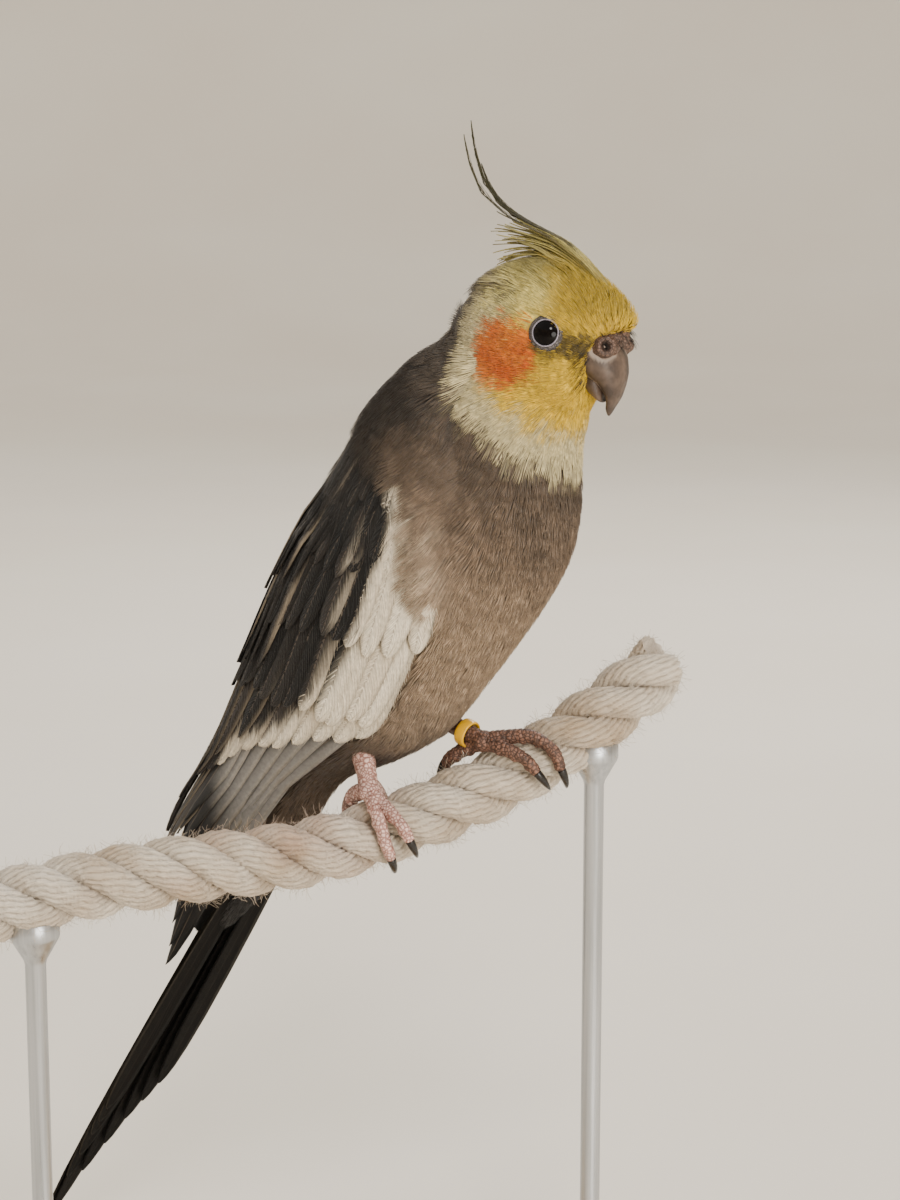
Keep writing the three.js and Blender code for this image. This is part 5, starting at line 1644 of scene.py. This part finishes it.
def strand_tree():
    """Strands along lines of edges, each of yarns that twist round it."""
    t = Tree("twisted_strand", {
        "Radius": ("NodeSocketFloat", 0.00406), "Yarns": ("NodeSocketFloat", 13.0),
        "Yarn lead": ("NodeSocketFloat", 0.0028), "Yarn depth": ("NodeSocketFloat", 0.0008),
        "Sides": ("NodeSocketInt", 80), "Finish": ("NodeSocketMaterial", None)})
    line = t.first("MeshToCurve", i0=t.given["Geometry"])
    place = t.node("GeometryNodeSplineParameter").outputs
    rail = t.store(line, "laid", place["Length"])
    circle = t.first("CurvePrimitiveCircle", Resolution=t.given["Sides"], Radius=t.given["Radius"])
    section = t.store(circle, "round", place["Factor"])
    tube = t.first("CurveToMesh", Curve=rail, Profile_Curve=section, Fill_Caps=True)
    laid, rounds = t.stored("laid"), t.sum("MULTIPLY", t.stored("round"), t.given["Yarns"])
    twist = t.sum("ADD", rounds, t.sum("DIVIDE", laid, t.given["Yarn lead"]))
    stray = t.sum("MULTIPLY", t.noise(150.0, 2.0), 2.2)
    wave = t.sum("SINE", t.sum("MULTIPLY", t.sum("ADD", twist, stray), math.pi))
    wave = t.sum("ABSOLUTE", wave)
    marked = t.store(tube, "yarn", wave)
    spun = t.sum("MULTIPLY", t.sum("DIVIDE", twist, t.given["Yarns"]), 2 * math.pi)
    fibre = t.node("CombineXYZ", X=t.sum("COSINE", spun), Y=t.sum("SINE", spun),
                   Z=t.sum("MULTIPLY", laid, 22.0)).outputs[0]
    marked = t.store(marked, "fibre", fibre, "FLOAT_VECTOR")
    groove = t.sum("SUBTRACT", t.sum("POWER", wave, 0.7), 1.0)
    height = t.sum("ADD", t.sum("MULTIPLY", groove, t.given["Yarn depth"]),
                   t.sum("MULTIPLY", t.noise(520.0, 3.0), 0.0013))
    push = t.node("VectorMath", {"operation": "SCALE"}, i0=t.first("InputNormal"), Scale=height)
    moved = t.first("SetPosition", Geometry=marked, Offset=push.outputs[0])
    t.close(t.first("SetShadeSmooth", i0=moved))
    return t


def fibre_tree():
    """Short bent fibres that stand off a surface, as on fuzzy yarn."""
    t = Tree("loose_fibres", {
        "Density": ("NodeSocketFloat", 400000.0), "Fibre length": ("NodeSocketFloat", 0.0029),
        "Seed": ("NodeSocketInt", 3), "Finish": ("NodeSocketMaterial", None)})
    seed = t.given["Seed"]
    spots = t.node("GeometryNodeDistributePointsOnFaces", Mesh=t.given["Geometry"],
                   Density=t.given["Density"], Seed=seed).outputs
    bend = t.first("CurveQuadraticBezier", Resolution=2, Start=(0, 0, 0), Middle=(0, 0, 0.6),
                   End=(0.45, 0, 0.9))
    thin = t.first("CurvePrimitiveCircle", Resolution=3, Radius=0.013)
    hair = t.first("CurveToMesh", Curve=bend, Profile_Curve=thin, Fill_Caps=True)
    spin = t.node("FunctionNodeRandomValue", {"data_type": "FLOAT_VECTOR"}, i0=(-1.3, -1.3, 0.0),
                  i1=(1.3, 1.3, 6.28), Seed=seed).outputs[0]
    turned = t.node("FunctionNodeRotateEuler", {"rotation_type": "EULER", "space": "LOCAL"},
                    Rotation=spots["Rotation"], Rotate_By=spin).outputs[0]
    grow = t.node("FunctionNodeRandomValue", {"data_type": "FLOAT"}, i2=0.4, i3=1.3, Seed=seed)
    size = t.sum("MULTIPLY", grow.outputs[1], t.given["Fibre length"])
    t.close(t.first("InstanceOnPoints", Points=spots["Points"], Instance=hair, Rotation=turned,
                    Scale=size))
    return t


def make_rope():
    """Three strands laid round the rope's middle, and a copy that carries the loose fibres."""
    turn = np.linspace(0, 1, ROPE_STEPS) * rope_length / ROPE_LEAD * 2 * math.pi
    ring = STRAND_LAY + 0.12 * (0.25 * np.sin(np.linspace(0, 31, ROPE_STEPS)))
    points, edges = [], []
    for n in range(3):
        wander = 0.08 * np.sin(np.linspace(0, 17, ROPE_STEPS) + n * 2)
        angle = turn + math.radians(120 * n) + wander
        points.append(rope_line + rope_up * (ring * np.cos(angle))[:, None]
                      + ROPE_ACROSS * (ring * np.sin(angle))[:, None])
        first = n * ROPE_STEPS
        edges += [(first + k, first + k + 1) for k in range(ROPE_STEPS - 1)]
    mesh = bpy.data.meshes.new("rope_lines")
    mesh.from_pydata(((np.concatenate(points) + BIRD_PLACE) * MM).tolist(), edges, [])
    rope = linked(bpy.data.objects.new("rope_strands", mesh))
    strand_tree().run_on(rope, Radius=STRAND_RADIUS * MM, Yarns=13.0, Yarn_lead=0.0028,
                         Yarn_depth=0.0008, Sides=80, Finish=cotton)
    fuzz = linked(rope.copy())
    fuzz.data = rope.data.copy()
    fuzz.name = "rope_fuzz"
    fibre_tree().run_on(fuzz, Density=400000.0, Fibre_length=0.0029, Seed=3, Finish=cotton)
    finished(rope, "perch_cotton", "perch_rope")
    finished(fuzz, "perch_cotton")


make_rope()


# Legs and feet: a toe's path is millimetres along the rope and degrees round it, from the foot out
TOE_RADIUS = 2.25
TOE_CLEAR = 0.36
TOE_RADII = [2.2, 1.95, 1.8, 1.6]
CLAW_LENGTH = 7.6
CLAW_BEND = 6.4
FEET = {
    "right": {
        "toes": [
            [[-15.8, 16], [-13.6, 46], [-11.6, 76], [-11, 96]],
            [[-15.8, 16], [-16.6, 52], [-16.8, 86], [-16.4, 112]],
            [[-15.8, 16], [-18.4, -26], [-20.4, -58], [-20.8, -84]],
            [[-15.8, 16], [-13.2, -26], [-11.6, -52], [-11, -74]],
        ],
        "ankle": [-21, -9.5, -37], "heel": [-18.6, -10.6, -42.6],
        "radii": [3.8, 3.6, 3.2, 2.9, 2.8], "finish": foot_finish,
    },
    "left": {
        "toes": [
            [[16.4, 8], [21, 18], [25.8, 38], [28.4, 70], [27.8, 100]],
            [[16.4, 8], [19.4, 36], [22, 62], [22.8, 86]],
            [[16.4, 8], [11.6, -24], [8, -36], [6.2, -48]],
            [[16.4, 8], [18, -30], [19.4, -58], [19.4, -82]],
        ],
        "ankle": [-9, 8.8, -30.5], "heel": [-3.8, 9, -34.4],
        "radii": [3.4, 3.2, 2.5, 2.2, 2.3], "finish": far_foot_finish,
    },
}
TOE_RISE = ROPE_RADIUS + TOE_RADIUS + TOE_CLEAR


def hub(data):
    """The middle of the foot, where its toes meet."""
    s, angle = data["toes"][0][0]
    return on_rope(s, math.radians(angle) / 2, TOE_RISE + 0.5)


def toe_places(data, path):
    return [hub(data)] + [on_rope(s, math.radians(a), TOE_RISE) for s, a in path[1:]]


def scaled_limb(places, radii, top, rows, columns, scute, pads):
    """A limb with scutes across its upper side and soft pads beneath."""
    line, length = centripetal(places, rows)
    way = unit(np.gradient(line, axis=0))
    up = unit(top - way * np.sum(top * way, -1, keepdims=True))
    side = np.cross(way, up)
    u = np.linspace(0, 1, rows)[:, None]
    size = np.interp(u, np.linspace(0, 1, len(radii)), radii)
    a = turns(columns)[None, :]
    phase = (u * length / scute + 0.12 * np.cos(a)) % 1.0
    upper = smooth(-0.1, 0.45, np.cos(a))
    plate = (phase ** 0.6 - 0.5) * 0.26 * upper
    plate = plate - 0.30 * np.exp(-((phase - 0.02) / 0.06) ** 2) * upper
    under = smooth(-0.1, 0.5, -np.cos(a))
    cushion = under * pads * 0.45 * np.maximum(0, np.sin(u * length / 4.6 * 2 * math.pi))
    knuckle = 0.12 * np.sin(u * math.pi * 3) ** 2
    end = np.sqrt(np.clip(1 - ((u - 0.94) / 0.06).clip(0, 1) ** 2 * 0.7, 0.05, 1))
    r = (size + plate + cushion + knuckle) * end
    return (line[:, None] + up[:, None] * (r * np.cos(a))[..., None]
            + side[:, None] * (r * np.sin(a) * 0.82)[..., None])


def outward_of_rope(points):
    return unit(np.array([p - rope_site(along_rope(p[0], p[1]))[0] for p in points]))


def make_leg(label):
    """The bare leg and foot as one piece: four toes, the foot's middle and the shank."""
    data, parts = FEET[label], []
    for path in data["toes"]:
        places = toe_places(data, path)
        out = outward_of_rope(centripetal(places, 90)[0])
        parts.append(lofts(scaled_limb(places, TOE_RADII, out, 90, 30, 1.5, 1.0)))
    parts.append(lofts(ball(hub(data), (2.9, 2.9, 2.7), rows=30, columns=36)))
    ankle, heel = np.array(data["ankle"], float), np.array(data["heel"], float)
    leg = [ankle + (ankle - heel) * 0.6, ankle, heel, hub(data)]
    front = np.tile(np.array([0.6, -0.4, 0.7]), (70, 1))
    parts.append(lofts(scaled_limb(leg, data["radii"], front, 70, 34, 1.7, 0.2)))
    foot = new_object(f"foot_skin_{label}", gathered(parts), data["finish"])
    finished(foot, "foot_skin", f"leg_{label}", f"foot_{label}")


def make_claws(label):
    """Curved horn claws that go on from the toes and bend in round the rope."""
    data = FEET[label]
    for n, path in enumerate(data["toes"]):
        before, end = toe_places(data, path)[-2:]
        run = unit(end - before)
        inward = unit(rope_site(path[-1][0])[0] - end)
        inward = unit(inward - run * np.dot(inward, run))
        u = np.linspace(0, 1, 26)
        turn = CLAW_LENGTH * u / CLAW_BEND
        line = (end + run * (-0.4 + CLAW_BEND * np.sin(turn))[:, None]
                + inward * (CLAW_BEND * (1 - np.cos(turn)) - 0.2)[:, None])
        way = unit(np.gradient(line, axis=0))
        side = unit(np.cross(run, inward))
        high = np.cross(side, way)
        r = (1.3 * (1 - u ** 1.5) ** 0.9 + 0.06)[:, None]
        a = turns(20)[None, :]
        flat = 1 - 0.25 * smooth(0.2, 1.0, np.cos(a))
        rings = (line[:, None] + high[:, None] * (r * np.cos(a) * flat)[..., None]
                 + side * (r * np.sin(a) * 0.85)[..., None])
        claw = new_object(f"claw_horn_{label}_{n + 1}", lofts(rings), claw_finish)
        finished(claw, "claw_horn", f"claw_{label}_{n + 1}")


for label in ("right", "left"):
    make_leg(label)
    make_claws(label)


# Leg ring: place along the leg, drop below it, middle radius, and half its thickness and height
RING_SHARE = 0.42
RING_DROP = 0.3
RING_RADIUS = 3.22
RING_HALF = (0.38, 1.5)


def make_ring():
    """The closed band round the left leg, its section a rounded oblong."""
    heel, end = np.array(FEET["left"]["heel"], float), hub(FEET["left"])
    axis = unit(end - heel)
    middle = heel + (end - heel) * RING_SHARE - np.array([0, 0, RING_DROP])
    a = unit(np.cross(axis, np.array([0.0, 0, 1])))
    b = np.cross(axis, a)
    around, across = 96, 28
    outline = []
    for n in range(across):
        c, s = math.cos(n / across * 2 * math.pi), math.sin(n / across * 2 * math.pi)
        outline.append((RING_RADIUS + RING_HALF[0] * np.sign(c) * abs(c) ** 0.6,
                        RING_HALF[1] * np.sign(s) * abs(s) ** 0.45))
    outline = np.array(outline)
    turn = turns(around)
    spoke = a * np.cos(turn)[:, None] + b * np.sin(turn)[:, None]
    ring = middle + spoke[:, None] * outline[None, :, :1] + axis * outline[None, :, 1:]
    points, quads = ring.reshape(-1, 3), closed_band(around, across)
    p = points - points.mean(0)
    first, *others = (p[quads[:, k]] for k in range(4))
    volume = sum(np.sum(first * np.cross(others[k], others[k + 1])) for k in (0, 1))
    quads = quads if volume > 0 else quads[:, ::-1]
    band = new_object("leg_band", (points, quads, NO_TRIS), band_finish())
    finished(band, "ring_plastic", "leg_ring")


make_ring()


# Display stand: height of the base, the rods' gap over it, and a rod's radii and heights at each end
BASE_TOP = 10
REST_GAP = 0.3
ROD_FOOT = [
    [0.05, 0], [7.6, 0], [8.0, 0.4], [8.0, 1.5], [7.6, 2.1], [6.8, 2.4], [3.6, 2.5], [2.9, 2.9],
    [2.6, 3.8],
]
ROD_HEAD = [
    [2.6, 11.6], [2.9, 10.4], [5.9, 5.1], [6.2, 4.3], [6.2, 0.4], [5.8, 0], [0.05, 0],
]


def make_rod(label, s):
    """A turned steel rod from the base up to the rope at s along it."""
    middle, _ = rope_site(s)
    bottom = BASE_TOP + REST_GAP - BIRD_PLACE[2]
    top = middle[2] - ROPE_RADIUS * 0.62 - bottom
    profile = np.array(ROD_FOOT + [[r, top - z] for r, z in ROD_HEAD], float)
    turn = turns(72)
    x, y = profile[:, :1] * np.cos(turn), profile[:, :1] * np.sin(turn)
    rings = np.stack([x, y, np.broadcast_to(profile[:, 1:], x.shape)], -1)
    rings = rings + np.array([middle[0], middle[1], bottom])
    rod = new_object(f"rod_{label}", lofts(rings), steel)
    finished(rod, "stand_steel", f"stand_rod_{label}")


def make_stand():
    make_rod("rear", -103)
    make_rod("front", 41)
    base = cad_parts["stand_base"]
    base.data.materials.clear()
    base.data.materials.append(wood)
    finished(base, "stand_wood")


make_stand()


# Floor as radius and height, and lamps: place, size, power and colour
FLOOR = [
    [0.001, 0], [0.5, 0], [1.2, 0], [2.0, 0], [2.6, 0.03], [3.0, 0.18], [3.3, 0.5], [3.45, 1.0],
    [3.5, 2.2],
]
LAMPS = {
    "key": ((0.8, -0.9, 1.2), 0.35, 12, (1.0, 0.96, 0.9)),
    "fill": ((0.95, -0.6, 0.3), 0.55, 9, (1.0, 0.96, 0.9)),
    "rim": ((-0.3, 1.2, 1.1), 0.8, 12, (1.0, 0.97, 0.93)),
}
LAMP_AIM = Vector((0.03, 0, 0.22))


def aimed(name, data, place, aim):
    """A lamp or camera at a place, turned to what it looks at."""
    obj = linked(bpy.data.objects.new(name, data))
    obj.location = place
    obj.rotation_euler = (aim - Vector(place)).to_track_quat("-Z", "Y").to_euler()
    return obj


def make_floor():
    made = Finish("pale_floor", tint("#efe7d9"), 0.8)
    cloud = made.span(made.noise(3, 3), 0.3, 0.7)
    made.colour(made.blend(cloud, tint("#f1eadd"), tint("#ece3d4")))
    around = 96
    turn = turns(around)
    radii, heights = np.array(FLOOR).T
    places = [np.outer(radii, np.cos(turn)), np.outer(radii, np.sin(turn)),
              np.outer(heights, np.ones(around))]
    i, j = grid(np.arange(len(FLOOR) - 1), np.arange(around))
    n = (j + 1) % around
    corners = [i * around + j, (i + 1) * around + j, (i + 1) * around + n, i * around + n]
    shape = np.stack(places, -1).reshape(-1, 3), np.stack(corners, -1).reshape(-1, 4), NO_TRIS
    floor = new_object("floor", shape, made.material, on_bird=False)


def make_light():
    world = bpy.data.worlds.new("studio")
    world.use_nodes = True
    background = world.node_tree.nodes["Background"].inputs
    background[0].default_value = (1.0, 0.975, 0.94, 1)
    background[1].default_value = 0.95
    bpy.context.scene.world = world
    for name, (place, size, power, colour) in LAMPS.items():
        lamp = bpy.data.lights.new(name, "AREA")
        lamp.shape = "DISK"
        lamp.size = size
        lamp.energy = power
        lamp.color = colour
        aimed(name, lamp, place, LAMP_AIM)


make_floor()
make_light()

# The photo's view: from the bird's right and a little above
CAMERA_PLACE = Vector((0.35135, -0.54013, 0.33068))
CAMERA_AIM = Vector((0.032, 0.013, 0.210))
view = bpy.data.cameras.new("photo_view")
view.lens = 78.18
view.sensor_width = 36
view.clip_start = 0.01
bpy.context.scene.camera = aimed("photo_view", view, CAMERA_PLACE, CAMERA_AIM)
